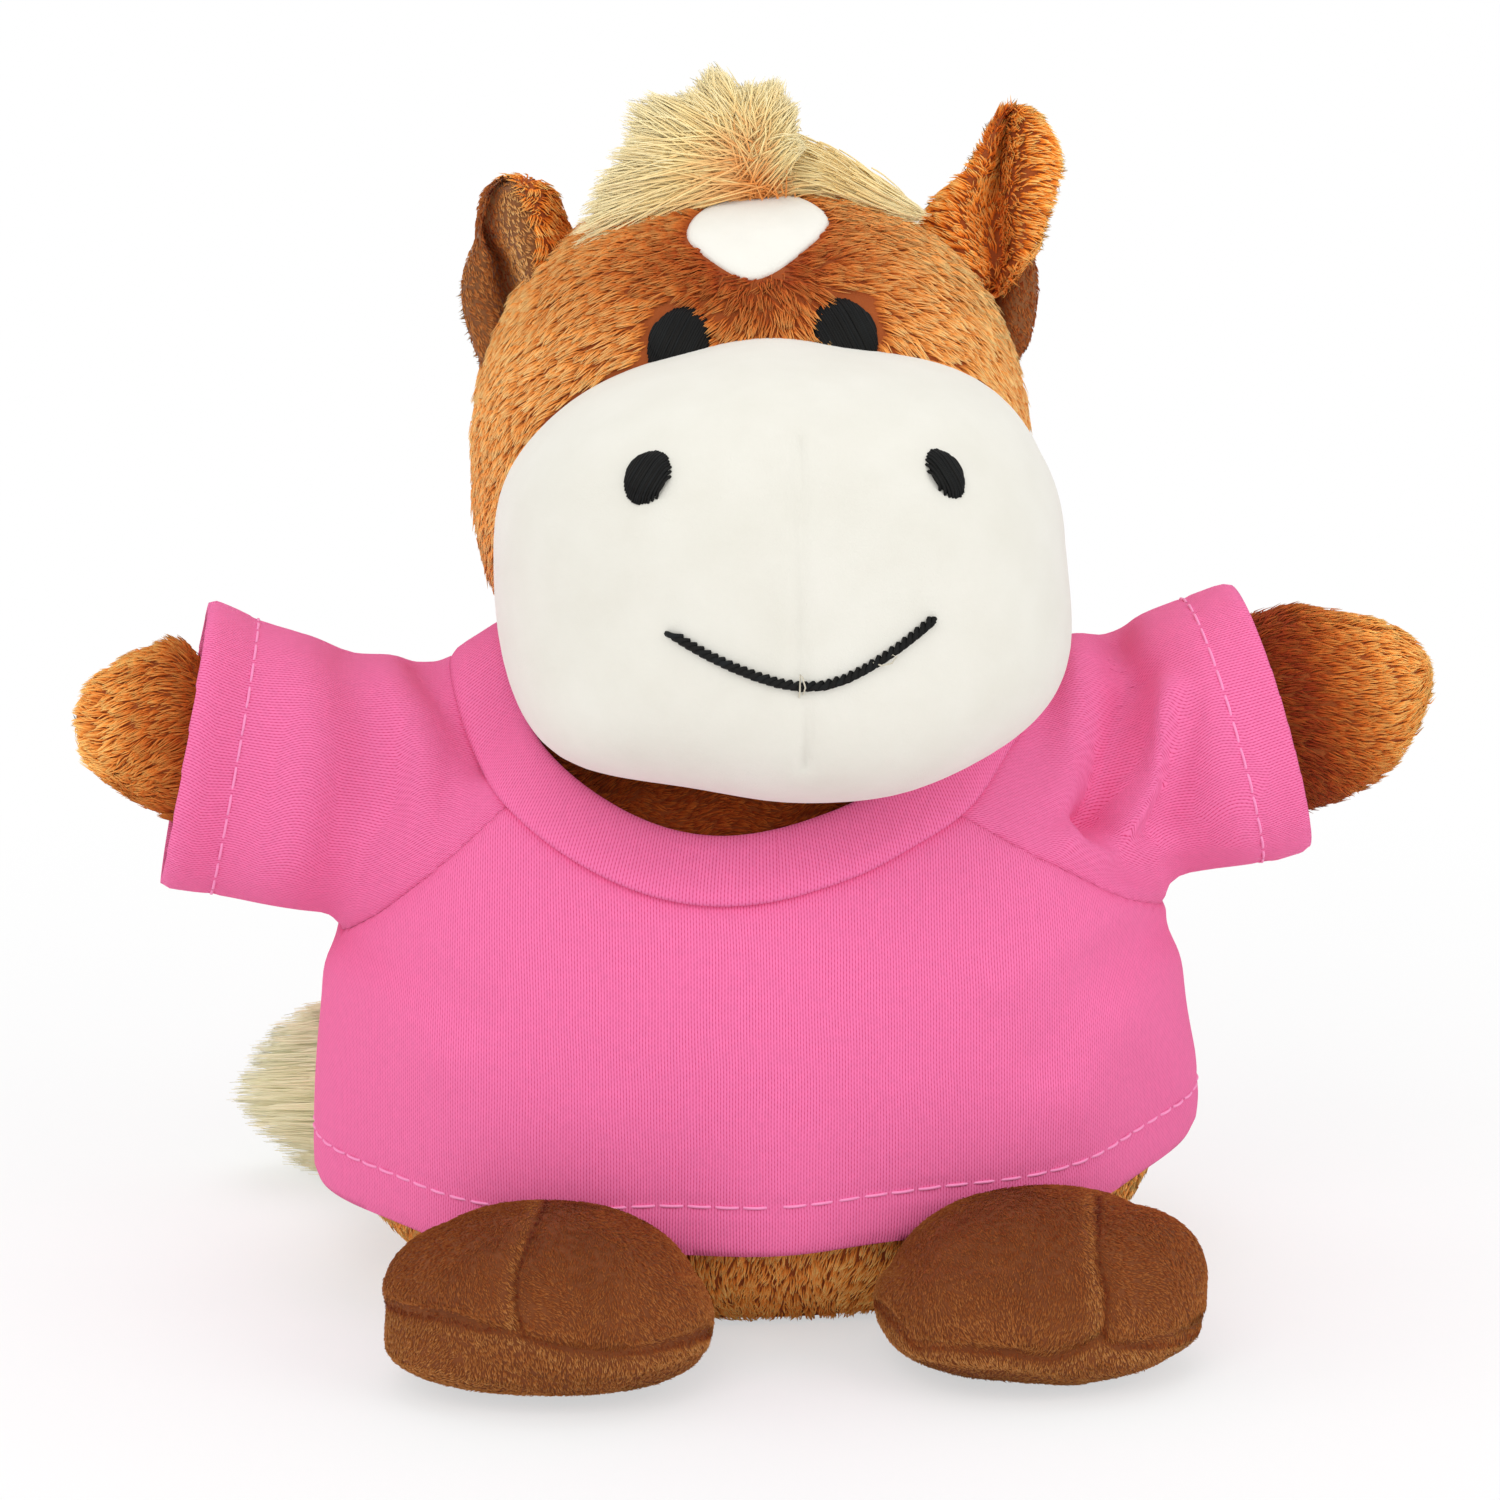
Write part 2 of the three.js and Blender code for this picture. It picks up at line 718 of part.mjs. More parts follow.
function makeFoot(side) {
  const group = new THREE.Group();
  const left = side === 'left';
  const across = left ? footSpreadLeft : -footSpreadRight;
  group.position.set(across, -reachOf(body, body.front, across, ankleHeight) - ankleStand, ankleHeight);
  group.rotation.z = radians(left ? footSplay : -footSplay);
  const seam = footSeamHeight - ankleHeight;
  const foot = {
    at: new THREE.Vector3(0, -footAhead, seam),
    side: footWidth / 2,
    front: footToe,
    back: footHeel,
    up: footHeight - footSeamHeight,
    down: footSeamHeight + footSink,
    square: footSquareness,
    squareBelow: footSoleSquareness,
    facets: footFacets,
  };
  const hinge = new THREE.Vector3(1, 0, 0);
  const turns = steps(0, -footFlex, footStops);
  const floor = above(-ankleHeight);
  const larger = [swelling(body, gap), shirtSpace()];
  const clear = (solid) => carve(solid, group, hinge, turns, larger).intersect(floor);
  const hollow = solidOf(swelling(foot, -pileFabric)).intersect(above(pileFabric - ankleHeight));
  const skin = clear(solidOf(swelling(foot))).subtract(hollow);
  group.add(piece(`foot_${side}_upper`, skin.intersect(above(seam + gap / 2)), darkSuede));
  group.add(piece(`foot_${side}_sole`, skin.intersect(below(seam - gap / 2)), darkSuede));
  const fill = solidOf(swelling(foot, -pileFabric - gap)).intersect(above(pileFabric + gap - ankleHeight));
  group.add(piece(`foot_${side}_stuffing`, clear(fill), polyesterFill));
  return group;
}

// Tail: a brush of long pile, thin at its seam on the body and full at its end

function makeTail() {
  const group = new THREE.Group();
  const back = reachOf(body, body.back, tailRootSide, tailRootHeight) + tailStand;
  group.position.set(-tailRootSide, back, tailRootHeight);
  const full = tailTipRadius + tailLift - tailRootHeight;
  const route = new THREE.CatmullRomCurve3([
    new THREE.Vector3(0, 0, 0),
    new THREE.Vector3(-tailReach / 3, tailBow, full / 2),
    new THREE.Vector3((-2 * tailReach) / 3, -tailCurl / 3, full),
    new THREE.Vector3(-tailReach, -tailCurl, full),
  ]);
  const girth = (t) => {
    const growth = Math.sin(Math.min(1, t / tailFullest) * (Math.PI / 2));
    const closing = Math.max(0, (t - tailFullest) / (1 - tailFullest));
    const swell = tailRootRadius + (tailTipRadius - tailRootRadius) * growth;
    return swell * Math.max(tailEnd, Math.sqrt(1 - closing * closing));
  };
  const up = new THREE.Vector3(0, 0, 1);
  const rings = steps(0, 1, tailFacets.rings).map((t) => {
    const along = route.getTangent(t);
    const across = new THREE.Vector3().crossVectors(up, along).normalize();
    return ringAt(route.getPoint(t), across, up, girth(t), girth(t), 2, tailFacets.around);
  });
  const turns = steps(0, -tailSwing, tailStops);
  const larger = [swelling(body, gap), shirtSpace()];
  group.add(piece('tail', carve(solidOf(loft(rings)), group, up, turns, larger), creamPile));
  return group;
}

// T-shirt: one surface of jersey, cut into its panels along the raglan and side seams

function sleeve(side, grow) {
  const length = side === 'left' ? sleeveLengthLeft : sleeveLengthRight;
  const rings = steps(-sleeveRoot, length + jersey, sleeveFacets.rings).map((x) => {
    const fold = x < 0 ? 0 : sleeveFoldDepth * Math.sin((2 * Math.PI * x) / sleeveFoldLength);
    const middle = new THREE.Vector3(x, 0, 0);
    const across = new THREE.Vector3(0, 1, 0);
    const over = new THREE.Vector3(0, 0, 1);
    const halfDepth = sleeveDepth / 2 + fold + grow;
    const halfHeight = sleeveHeight / 2 + grow;
    return ringAt(middle, across, over, halfDepth, halfHeight, sleeveSquareness, sleeveFacets.around);
  });
  const group = armGroup(side);
  group.updateMatrix();
  return loft(rings).applyMatrix4(group.matrix);
}

// Keeps a sleeve's length to its cuff, square to the arm.
function beyondCuff(side) {
  const length = side === 'left' ? sleeveLengthLeft : sleeveLengthRight;
  const group = armGroup(side);
  group.updateMatrix();
  const end = new THREE.BoxGeometry(far, far, far).translate(length + far / 2, 0, 0);
  return solidOf(end.applyMatrix4(group.matrix));
}

// What lies above a raglan seam's plane, which runs from the neckband to the underarm.
function overRaglan(side, shift) {
  const sign = side === 'left' ? 1 : -1;
  const run = new THREE.Vector2(raglanEndOut - raglanTopOut, raglanEndHeight - raglanTopHeight).normalize();
  const slope = Math.atan2(run.y, run.x);
  const group = new THREE.Group();
  group.position.set(sign * raglanTopOut, 0, raglanTopHeight);
  group.rotation.y = -sign * slope;
  group.updateMatrix();
  const over = new THREE.BoxGeometry(far, far, far).translate(0, 0, far / 2 + shift);
  return solidOf(over.applyMatrix4(group.matrix));
}

// The neckline at an angle from the front: its outer seam on the shirt, and the way the band rises.
function neckline(angle) {
  const ahead = Math.cos(angle + radians(neckbandTwist));
  const rise = ahead > 0 ? (1 - ahead) ** neckbandRise : 1;
  const settle = ahead > 0 ? 0 : -ahead;
  const z = neckbandFront + (neckbandSide - neckbandFront) * rise + (neckbandBack - neckbandSide) * settle;
  const square = shirtSquareness;
  const level = (1 - ((z - shirtLevel) / shirtCrown) ** square) ** (1 / square);
  const outward = new THREE.Vector3(Math.sin(angle) * shirt.side, -Math.cos(angle) * shirt.front, 0);
  outward.normalize();
  const across = Math.abs(outward.x) / shirt.side;
  const along = Math.abs(outward.y) / shirt.front;
  const reach = (across ** square + along ** square) ** (-1 / square);
  const seam = outward.clone().multiplyScalar(reach * level).setZ(z);
  const tilt = Math.max(0, ahead) ** neckbandLeanFade;
  const lean = radians(neckbandLeanSide + (neckbandLeanFront - neckbandLeanSide) * tilt);
  const rising = new THREE.Vector3(0, 0, Math.cos(lean)).addScaledVector(outward, -Math.sin(lean));
  return { seam, outward, rising };
}

const lineAngles = steps(0, 2 * Math.PI, bandFacets).slice(0, -1);

function neckband() {
  const rings = lineAngles.map((angle) => {
    const { seam, rising } = neckline(angle);
    const [from, to] = [neckline(angle - smallTurn).seam, neckline(angle + smallTurn).seam];
    const along = new THREE.Vector3().subVectors(to, from).normalize();
    const face = new THREE.Vector3().crossVectors(rising, along).normalize();
    const [halfThickness, halfWidth] = [neckbandThickness / 2, neckbandWidth / 2];
    const middle = seam.clone().addScaledVector(rising, halfWidth);
    return ringAt(middle, face, rising, halfThickness, halfWidth, neckbandSquareness, bandSides);
  });
  return solidOf(loft(rings, true));
}

// Everything inside the neckline, from under the shirt's surface to well above it.
function neckPlug() {
  const low = lineAngles.map((angle) => {
    const { seam, rising } = neckline(angle);
    return seam.clone().addScaledVector(rising, -gap);
  });
  const taper = new THREE.Vector3(neckCutTaper, neckCutTaper, 1);
  const inner = low.map((point) => point.clone().multiply(taper).setZ(point.z - neckCutDepth));
  const outer = lineAngles.map((angle, i) => {
    const { outward, rising } = neckline(angle);
    const clear = neckbandThickness / 2 + gap;
    return low[i].clone().addScaledVector(outward, rising.z * clear).setZ(low[i].z + clear);
  });
  const top = outer.map((point) => point.clone().setZ(neckHeight + neckRadius));
  return solidOf(loft([inner, low, outer, top]));
}

// Everything under the hem's plane, which dips to the front and rises to the pony's left.
function underHem(drop) {
  const slope = new THREE.Group();
  slope.position.z = hemHeight - drop;
  slope.rotation.set(Math.atan(hemForwardDip), -Math.atan(hemSideRise), 0);
  slope.updateMatrix();
  return solidOf(new THREE.BoxGeometry(far, far, far).translate(0, 0, -far / 2).applyMatrix4(slope.matrix));
}

// The space that the shirt's body takes, with room round it, for what moves beside it.
function shirtSpace() {
  return geometryOf(solidOf(swelling(shirt, 2 * gap)).subtract(underHem(2 * gap)));
}

function makeShirt() {
  const group = new THREE.Group();
  const sides = ['left', 'right'];
  const wrap = (grow) => sides.reduce(
    (whole, side) => whole.add(solidOf(sleeve(side, grow))),
    solidOf(swelling(shirt, grow)),
  );
  let cloth = wrap(0).subtract(wrap(-jersey)).subtract(neckPlug()).subtract(underHem(0));
  for (const side of sides) {
    cloth = cloth.subtract(beyondCuff(side));
  }

  const torso = sides.reduce((left, side) => left.subtract(overRaglan(side, -gap / 2)), cloth);
  group.add(piece('shirt_front', torso.intersect(infront(-gap / 2)), pinkJersey));
  group.add(piece('shirt_back', torso.intersect(behind(gap / 2)), pinkJersey));
  for (const side of sides) {
    const half = block(
      new THREE.Vector3(side === 'left' ? 0 : -far, -far, -far),
      new THREE.Vector3(side === 'left' ? far : 0, far, far),
    );
    const panel = cloth.intersect(overRaglan(side, gap / 2)).intersect(half);
    group.add(piece(`shirt_sleeve_${side}`, panel, pinkJersey));
  }
  group.add(piece('shirt_neckband', neckband(), pinkJersey));
  return group;
}

// The whole pony

const pony = new THREE.Group();
pony.add(makeBody());
pony.add(makeShirt());

const head = new THREE.Group();
head.position.copy(headOrigin);
head.add(makeNeck());
head.add(makeHead());
head.add(makeFace());
head.add(makeMane([earSpace('left'), earSpace('right')]));
head.add(makeEar('left'));
head.add(makeEar('right'));
pony.add(head);

pony.add(makeArm('left'));
pony.add(makeArm('right'));
pony.add(makeFoot('left'));
pony.add(makeFoot('right'));
pony.add(makeTail());

export default pony;
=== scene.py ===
"""A seated beanbag plush pony in a knitted T-shirt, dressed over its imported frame.

Lengths are written in millimetres, as the toy was measured, and meshes are made in metres. The pony
looks along -Y, its own left is +X, and it sits on the floor at Z 0.
"""
import math

import bmesh
import bpy
import numpy as np
from mathutils import Matrix, Vector, kdtree
from mathutils.bvhtree import BVHTree


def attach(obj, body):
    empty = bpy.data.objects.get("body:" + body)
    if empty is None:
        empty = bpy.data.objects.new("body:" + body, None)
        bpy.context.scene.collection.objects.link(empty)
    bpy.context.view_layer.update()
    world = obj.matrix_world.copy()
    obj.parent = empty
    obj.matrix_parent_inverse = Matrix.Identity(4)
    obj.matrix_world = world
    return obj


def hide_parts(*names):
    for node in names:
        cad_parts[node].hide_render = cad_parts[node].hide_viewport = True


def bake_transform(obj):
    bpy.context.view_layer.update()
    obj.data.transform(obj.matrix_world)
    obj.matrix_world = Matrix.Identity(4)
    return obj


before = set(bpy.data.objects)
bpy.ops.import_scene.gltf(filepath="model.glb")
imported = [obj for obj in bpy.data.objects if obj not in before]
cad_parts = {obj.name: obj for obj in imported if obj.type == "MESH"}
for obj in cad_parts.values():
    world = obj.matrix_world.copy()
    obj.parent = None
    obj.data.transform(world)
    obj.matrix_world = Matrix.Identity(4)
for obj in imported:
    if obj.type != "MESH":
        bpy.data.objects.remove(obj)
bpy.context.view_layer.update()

# ---------------------------------------------------------------------------------------------------
# Camera: a long lens a little above the toy and a few degrees to its right. Places that were read
# off the picture, 1500 wide and high, are carried to the toy along this camera's lines of sight.

METRE = 0.001
PICTURE = 1500
CAMERA_TURN, CAMERA_RISE = math.radians(-5), math.radians(12)
CAMERA_AIM = np.array([0, 0, 69.5])
CAMERA_DISTANCE = 720
SCALE_IN_PICTURE = 7.46
camera_back = np.array([math.sin(CAMERA_TURN) * math.cos(CAMERA_RISE),
                        -math.cos(CAMERA_TURN) * math.cos(CAMERA_RISE), math.sin(CAMERA_RISE)])
camera_right = np.array([math.cos(CAMERA_TURN), math.sin(CAMERA_TURN), 0])
camera_up = np.cross(camera_back, camera_right)
camera_eye = CAMERA_AIM + camera_back * CAMERA_DISTANCE
focal = SCALE_IN_PICTURE * CAMERA_DISTANCE

lens = bpy.data.cameras.new("camera")
lens.sensor_width = 36
lens.lens = lens.sensor_width * focal / PICTURE
lens.clip_start = 0.01
camera = bpy.data.objects.new("camera", lens)
camera.location = Vector(camera_eye * METRE)
camera.rotation_euler = Vector(camera_back).to_track_quat("Z", "Y").to_euler()
bpy.context.scene.collection.objects.link(camera)
bpy.context.scene.camera = camera

# ---------------------------------------------------------------------------------------------------
# Studio: a white floor that keeps the toy's shadow, a white surround, and four large soft lamps.

def written(red, green, blue):
    """A colour as it is written, 0 to 255, in the linear values that shaders take."""
    light = [c / 255 / 12.92 if c <= 10 else ((c / 255 + 0.055) / 1.055) ** 2.4 for c in (red, green, blue)]
    return (*light, 1.0)


def shader(name):
    """A new material, its node tree and its Principled shader."""
    material = bpy.data.materials.new(name)
    material.use_nodes = True
    return material, material.node_tree, material.node_tree.nodes["Principled BSDF"]


def feed(node, sockets):
    """Sets a shader node's sockets to values, or joins them to what other nodes put out."""
    for socket, value in sockets.items():
        if isinstance(value, bpy.types.NodeSocket):
            node.id_data.links.new(value, node.inputs[socket])
        else:
            node.inputs[socket].default_value = value
    return node


def add(tree, kind, sockets=None, **settings):
    """A new node in a shader tree, with its settings and its sockets."""
    node = tree.nodes.new("ShaderNode" + kind)
    for setting, value in settings.items():
        setattr(node, setting, value)
    return feed(node, sockets or {})


scene = bpy.context.scene
scene.view_settings.view_transform = "Standard"

WHITE = (1, 1, 1, 1)
world = bpy.data.worlds.new("studio")
scene.world = world
world.use_nodes = True
sky = world.node_tree
seen_or_lit = add(sky, "MixShader", {
    0: add(sky, "LightPath").outputs["Is Camera Ray"],
    1: feed(sky.nodes["Background"], {"Color": WHITE, "Strength": 0.62}).outputs[0],
    2: add(sky, "Background", {"Color": WHITE, "Strength": 1}).outputs[0]})
feed(sky.nodes["World Output"], {"Surface": seen_or_lit.outputs[0]})

floor_mesh = bpy.data.meshes.new("floor")
FLOOR_REACH = 4
floor_mesh.from_pydata([(x * FLOOR_REACH, y * FLOOR_REACH, 0) for x, y in ((-1, -1), (1, -1), (1, 1), (-1, 1))],
                       [], [(0, 1, 2, 3)])
floor = bpy.data.objects.new("floor", floor_mesh)
scene.collection.objects.link(floor)
paper, paper_tree, paper_shader = shader("white_paper")
feed(paper_shader, {"Base Color": (0.93, 0.93, 0.93, 1), "Roughness": 0.9})
paper_place = add(paper_tree, "TexCoord")
paper_reach = add(paper_tree, "VectorMath", {0: paper_place.outputs["Object"]}, operation="LENGTH")
paper_fade = add(paper_tree, "MapRange", {"Value": paper_reach.outputs["Value"], "From Min": 0.05,
                                          "From Max": 0.3, "To Min": 0.55, "To Max": 1.0})
paper_ray = add(paper_tree, "LightPath")
paper_share = add(paper_tree, "Math", {0: paper_fade.outputs[0], 1: paper_ray.outputs["Is Camera Ray"]},
                  operation="MULTIPLY")
paper_white = add(paper_tree, "Emission", {"Color": WHITE})
paper_mix = add(paper_tree, "MixShader", {0: paper_share.outputs[0], 1: paper_shader.outputs[0],
                                          2: paper_white.outputs[0]})
feed(paper_tree.nodes["Material Output"], {"Surface": paper_mix.outputs[0]})
floor_mesh.materials.append(paper)

for lamp_name, place, size, power in (
        ("lamp_key", (-0.45, -0.95, 0.85), 0.8, 4.2),
        ("lamp_left", (-1.0, -0.12, 0.36), 0.7, 1.7),
        ("lamp_fill", (0.85, -0.75, 0.55), 0.8, 4.0),
        ("lamp_top", (0.05, 0.35, 1.1), 0.9, 3.2)):
    lamp = bpy.data.lights.new(lamp_name, "AREA")
    lamp.size = size
    lamp.energy = power
    stand = bpy.data.objects.new(lamp_name, lamp)
    stand.location = place
    stand.rotation_euler = (Vector(place) - Vector((0, 0, 0.07))).to_track_quat("Z", "Y").to_euler()
    scene.collection.objects.link(stand)

# ---------------------------------------------------------------------------------------------------
# Body: front and back panels of short brown pile and a flat base of the same pile, sewn right sides
# together, turned and filled. The pile shows between muzzle and neckband and below the shirt's hem.

def form(at, side, front, back, up, down, square, plan=None, below=None):
    """A stuffed form: half widths from its middle, and how square it is in plan, above and below."""
    return dict(at=np.array(at, float), side=side, front=front, back=back, up=up, down=down,
                square=square, plan=plan or square, below=below or square)


def round_grid(count):
    """An even ball of quads, count squares along each of its six patches."""
    turn = np.tan(np.linspace(-math.pi / 4, math.pi / 4, count + 1))
    u, v = np.meshgrid(turn, turn, indexing="ij")
    one = np.ones_like(u)
    patches = ((one, u, v), (-one, v, u), (v, one, u), (u, -one, v), (u, v, one), (v, u, -one))
    points = np.concatenate([np.stack(p, -1).reshape(-1, 3) for p in patches])
    points /= np.linalg.norm(points, axis=1, keepdims=True)
    corner = np.arange(count * (count + 1)).reshape(count, count + 1)[:, :-1].ravel()
    quad = np.stack([corner, corner + count + 1, corner + count + 2, corner + 1], -1)
    faces = np.concatenate([quad + i * (count + 1) ** 2 for i in range(6)])
    _, first, same = np.unique(np.round(points, 5), axis=0, return_index=True, return_inverse=True)
    return points[first], same.reshape(-1)[faces]


def swell(ball, shape, grow=0.0):
    """The ball's points carried to a stuffed form."""
    level = np.where(ball[:, 2] < 0, shape["below"], shape["square"])
    plan = shape["plan"]
    girth = (np.abs(ball[:, 0]) ** plan + np.abs(ball[:, 1]) ** plan) ** (1 / plan)
    reach = (girth ** level + np.abs(ball[:, 2]) ** level) ** (1 / level)
    out = ball / reach[:, None]
    out[:, 0] *= shape["side"] + grow
    out[:, 1] *= np.where(out[:, 1] < 0, shape["front"], shape["back"]) + grow
    out[:, 2] *= np.where(out[:, 2] < 0, shape["down"], shape["up"]) + grow
    return out + shape["at"]


def depth_in(shape, points, grow=0.0):
    """Below 1 inside a form, 1 on its skin and above 1 outside."""
    off = points - shape["at"]
    x = np.abs(off[..., 0]) / (shape["side"] + grow)
    y = np.abs(off[..., 1]) / (np.where(off[..., 1] < 0, shape["front"], shape["back"]) + grow)
    z = np.abs(off[..., 2]) / (np.where(off[..., 2] < 0, shape["down"], shape["up"]) + grow)
    level = np.where(off[..., 2] < 0, shape["below"], shape["square"])
    return ((x ** shape["plan"] + y ** shape["plan"]) ** (level / shape["plan"]) + z ** level) ** (1 / level)


def outside_fill(points, shape, wall=1.35):
    """Points of a skin, moved out where they would lie inside the stuffing's form."""
    reach = depth_in(shape, points, -wall)
    return shape["at"] + (points - shape["at"]) * np.maximum(1, 1 / np.maximum(reach, 0.05))[:, None]


def unit(vectors):
    """Vectors made one long."""
    return vectors / np.maximum(np.linalg.norm(vectors, axis=-1, keepdims=True), 1e-9)


def normals_of(points, faces):
    """One outward direction per point of a mesh of quads."""
    across = np.cross(points[faces[:, 2]] - points[faces[:, 0]], points[faces[:, 3]] - points[faces[:, 1]])
    total = np.zeros_like(points)
    for corner in range(4):
        np.add.at(total, faces[:, corner], across)
    return unit(total)


def finished(name, mesh, material, body, slot, *nodes):
    """A mesh made a piece of the toy: in its material, on its body, in place of CAD nodes."""
    mesh.materials.append(material)
    piece = bpy.data.objects.new(name, mesh)
    scene.collection.objects.link(piece)
    if body:
        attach(piece, body)
    if nodes:
        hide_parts(*nodes)
    return piece


def sewn(name, points, faces, material, body, slot, *nodes):
    """A mesh piece from points in millimetres."""
    mesh = bpy.data.meshes.new(name)
    mesh.from_pydata((points * METRE).tolist(), [], faces.tolist())
    mesh.shade_smooth()
    return finished(name, mesh, material, body, slot, *nodes)


def ring_faces(rings, count, closed=False):
    """Quads between rings of points, and where closed also from the last ring to the first."""
    ring, place = np.meshgrid(np.arange(rings - 1 + closed), np.arange(count), indexing="ij")
    ring, place = ring.ravel(), place.ravel()
    following, beside = (ring + 1) % rings * count, (place + 1) % count
    return np.stack([ring * count + place, following + place, following + beside, ring * count + beside], -1)


INWARD = [0, 3, 2, 1]


def tubes(name, paths, thick, tone, material, body, slot, sides=3, facing=None, soft=0.65, from_share=0.0):
    """Many fine fibres or threads as one mesh: paths is fibres by points by 3, thick their half
    widths, and tone a random number per fibre. The attribute "fibre" holds how far along a fibre a
    point is, the fibre's tone and its tuft's tone; from_share is how far along its colours a fibre
    starts. Where facing is given, the fibres take the light as a mass of far finer ones that faces that
    way does, by the share that soft gives."""
    count, steps, _ = paths.shape
    thick = np.broadcast_to(np.asarray(thick, float), (count, steps))
    along = unit(np.gradient(paths, axis=1))
    lean = np.where(np.abs(along[:, :1, 2:]) > 0.9, [[[1.0, 0, 0]]], [[[0, 0, 1.0]]])
    across = unit(np.cross(along, lean))
    over = np.cross(along, across)
    angles = np.arange(sides) * 2 * math.pi / sides
    ring = (across[:, :, None] * np.cos(angles)[None, None, :, None]
            + over[:, :, None] * np.sin(angles)[None, None, :, None])
    points = (paths[:, :, None] + ring * thick[:, :, None, None]).reshape(-1, 3)
    quad = ring_faces(steps, sides)[:, INWARD]
    step, side = np.divmod(quad[:, 0], sides)
    faces = (np.arange(count)[:, None, None] * steps * sides + quad[None]).reshape(-1, 4)

    mesh = bpy.data.meshes.new(name)
    mesh.vertices.add(len(points))
    mesh.vertices.foreach_set("co", (points * METRE).astype(np.float32).ravel())
    mesh.loops.add(faces.size)
    mesh.loops.foreach_set("vertex_index", faces.astype(np.int32).ravel())
    mesh.polygons.add(len(faces))
    mesh.polygons.foreach_set("loop_start", np.arange(0, faces.size, 4, dtype=np.int32))
    mesh.update(calc_edges=True)
    mesh.shade_smooth()
    if facing is not None:
        towards = facing[:, None, None] if facing.ndim == 2 else facing[:, :, None]
        share = np.broadcast_to(soft, (count,))[:, None, None, None]
        lit = unit(ring * (1 - share) + towards * share)
        mesh.normals_split_custom_set_from_vertices(lit.reshape(-1, 3).tolist())

    cells = math.ceil(math.sqrt(count))
    column, row = np.arange(count) % cells, np.arange(count) // cells
    u = np.stack([side, side + 1, side + 1, side], -1) / sides
    v = np.stack([step, step, step + 1, step + 1], -1) / (steps - 1)
    corner = np.stack([(column[:, None, None] + 0.08 + 0.84 * u) / cells,
                       (row[:, None, None] + 0.08 + 0.84 * v) / cells], -1)
    mesh.uv_layers.new(name="OFBake").data.foreach_set("uv", corner.astype(np.float32).ravel())

    fibre = np.empty((count, steps, sides, 4), np.float32)
    begin = np.broadcast_to(from_share, (count,))[:, None, None]
    fibre[..., 0] = begin + (1 - begin) * np.linspace(0, 1, steps)[None, :, None]
    fibre[..., 1] = tone[:, 0, None, None]
    fibre[..., 2] = tone[:, 1, None, None]
    fibre[..., 3] = 1
    mesh.attributes.new("fibre", "FLOAT_COLOR", "POINT").data.foreach_set("color", fibre.ravel())

    return finished(name, mesh, material, body, slot)


def drift(points, reach, seed):
    """Slow random directions that change over about reach millimetres."""
    draw = np.random.default_rng(seed)
    total = np.zeros_like(points)
    for _ in range(6):
        pull = draw.normal(size=(3, 3)) / reach
        total += np.sin(points @ pull.T + draw.uniform(0, 6.28, 3))
    return total / math.sqrt(6)


def scatter(points, faces, per_square, keep, draw):
    """Random places on a mesh of quads, and the outward direction at each."""
    normals = normals_of(points, faces)
    triangles = np.concatenate([faces[:, [0, 1, 2]], faces[:, [0, 2, 3]]])
    corners = points[triangles]
    area = np.linalg.norm(np.cross(corners[:, 1] - corners[:, 0], corners[:, 2] - corners[:, 0]), axis=1) / 2
    area = area * keep(corners.mean(1))
    count = int(area.sum() * per_square)
    pick = draw.choice(len(triangles), count, p=area / area.sum())
    a, b = draw.random((2, count))
    fold = a + b > 1
    a[fold], b[fold] = 1 - a[fold], 1 - b[fold]
    share = np.stack([1 - a - b, a, b], -1)[..., None]
    places = (corners[pick] * share).sum(1)
    facing = unit((normals[triangles[pick]] * share).sum(1))
    sure = keep(places)
    return places[sure], facing[sure]


def pile(name, points, faces, material, body, slot, comb, keep, seed, per_square=3.0, length=2.6,
         width=0.4, lie=28, ruffle=0.3, tuft=7, gather=0.5, most=30000, shade=None):
    """Short pile on a skin: tapered tufts that lie along comb, drawn together in small locks. Where
    shade is given it makes the tufts at a place darker or lighter: painted shade and painted light on
    the head, ears, arms and feet, and an even paleness on the body."""
    draw = np.random.default_rng(seed)
    roots, facing = scatter(points, faces, per_square, keep, draw)
    flow = comb(roots) + ruffle * drift(roots, 5, seed + 1) + 0.12 * draw.normal(size=roots.shape)
    flow = unit(flow - facing * (flow * facing).sum(1, keepdims=True))
    lift = np.radians(lie + 9 * draw.normal(size=len(roots)))[:, None]
    size = length * draw.uniform(0.7, 1.2, len(roots))[:, None]
    middle = roots + (flow * np.cos(lift) + facing * np.sin(lift)) * size * 0.5
    tip = middle + (flow * np.cos(lift * 0.35) + facing * np.sin(lift * 0.35)) * size * 0.5
    tip[:, 2] = np.maximum(tip[:, 2], 0.2)
    middle[:, 2] = np.maximum(middle[:, 2], 0.3)

    lead = draw.choice(len(roots), max(1, len(roots) // tuft), replace=False)
    tree = kdtree.KDTree(len(lead))
    for i, place in enumerate(roots[lead]):
        tree.insert(place, i)
    tree.balance()
    nearest = np.array([tree.find(place)[1] for place in roots])
    leader = lead[nearest]
    hold = gather * draw.uniform(0.6, 1.0, len(roots))[:, None]
    tip += (tip[leader] - tip) * hold
    middle += (middle[leader] - middle) * hold * 0.35

    paths = np.stack([roots - facing * 0.4, middle, tip], 1)
    paths[..., 2] = np.maximum(paths[..., 2], 0.2)
    thick = width / 2 * draw.uniform(0.75, 1.2, len(roots))[:, None] * np.array([[1.0, 0.85, 0.12]])
    tone = np.stack([draw.random(len(roots)), draw.random(len(lead))[nearest]], -1)
    # The tufts' painted shade and painted light, added to each tuft's tone.
    if shade:
        tone[:, 1] += shade(roots)
    shares = math.ceil(len(roots) / most)
    for i in range(shares):
        part = slice(i * len(roots) // shares, (i + 1) * len(roots) // shares)
        tubes(name if shares == 1 else f"{name}_{i + 1}", paths[part], thick[part], tone[part], material, body,
              slot, facing=facing[part], soft=0.5)


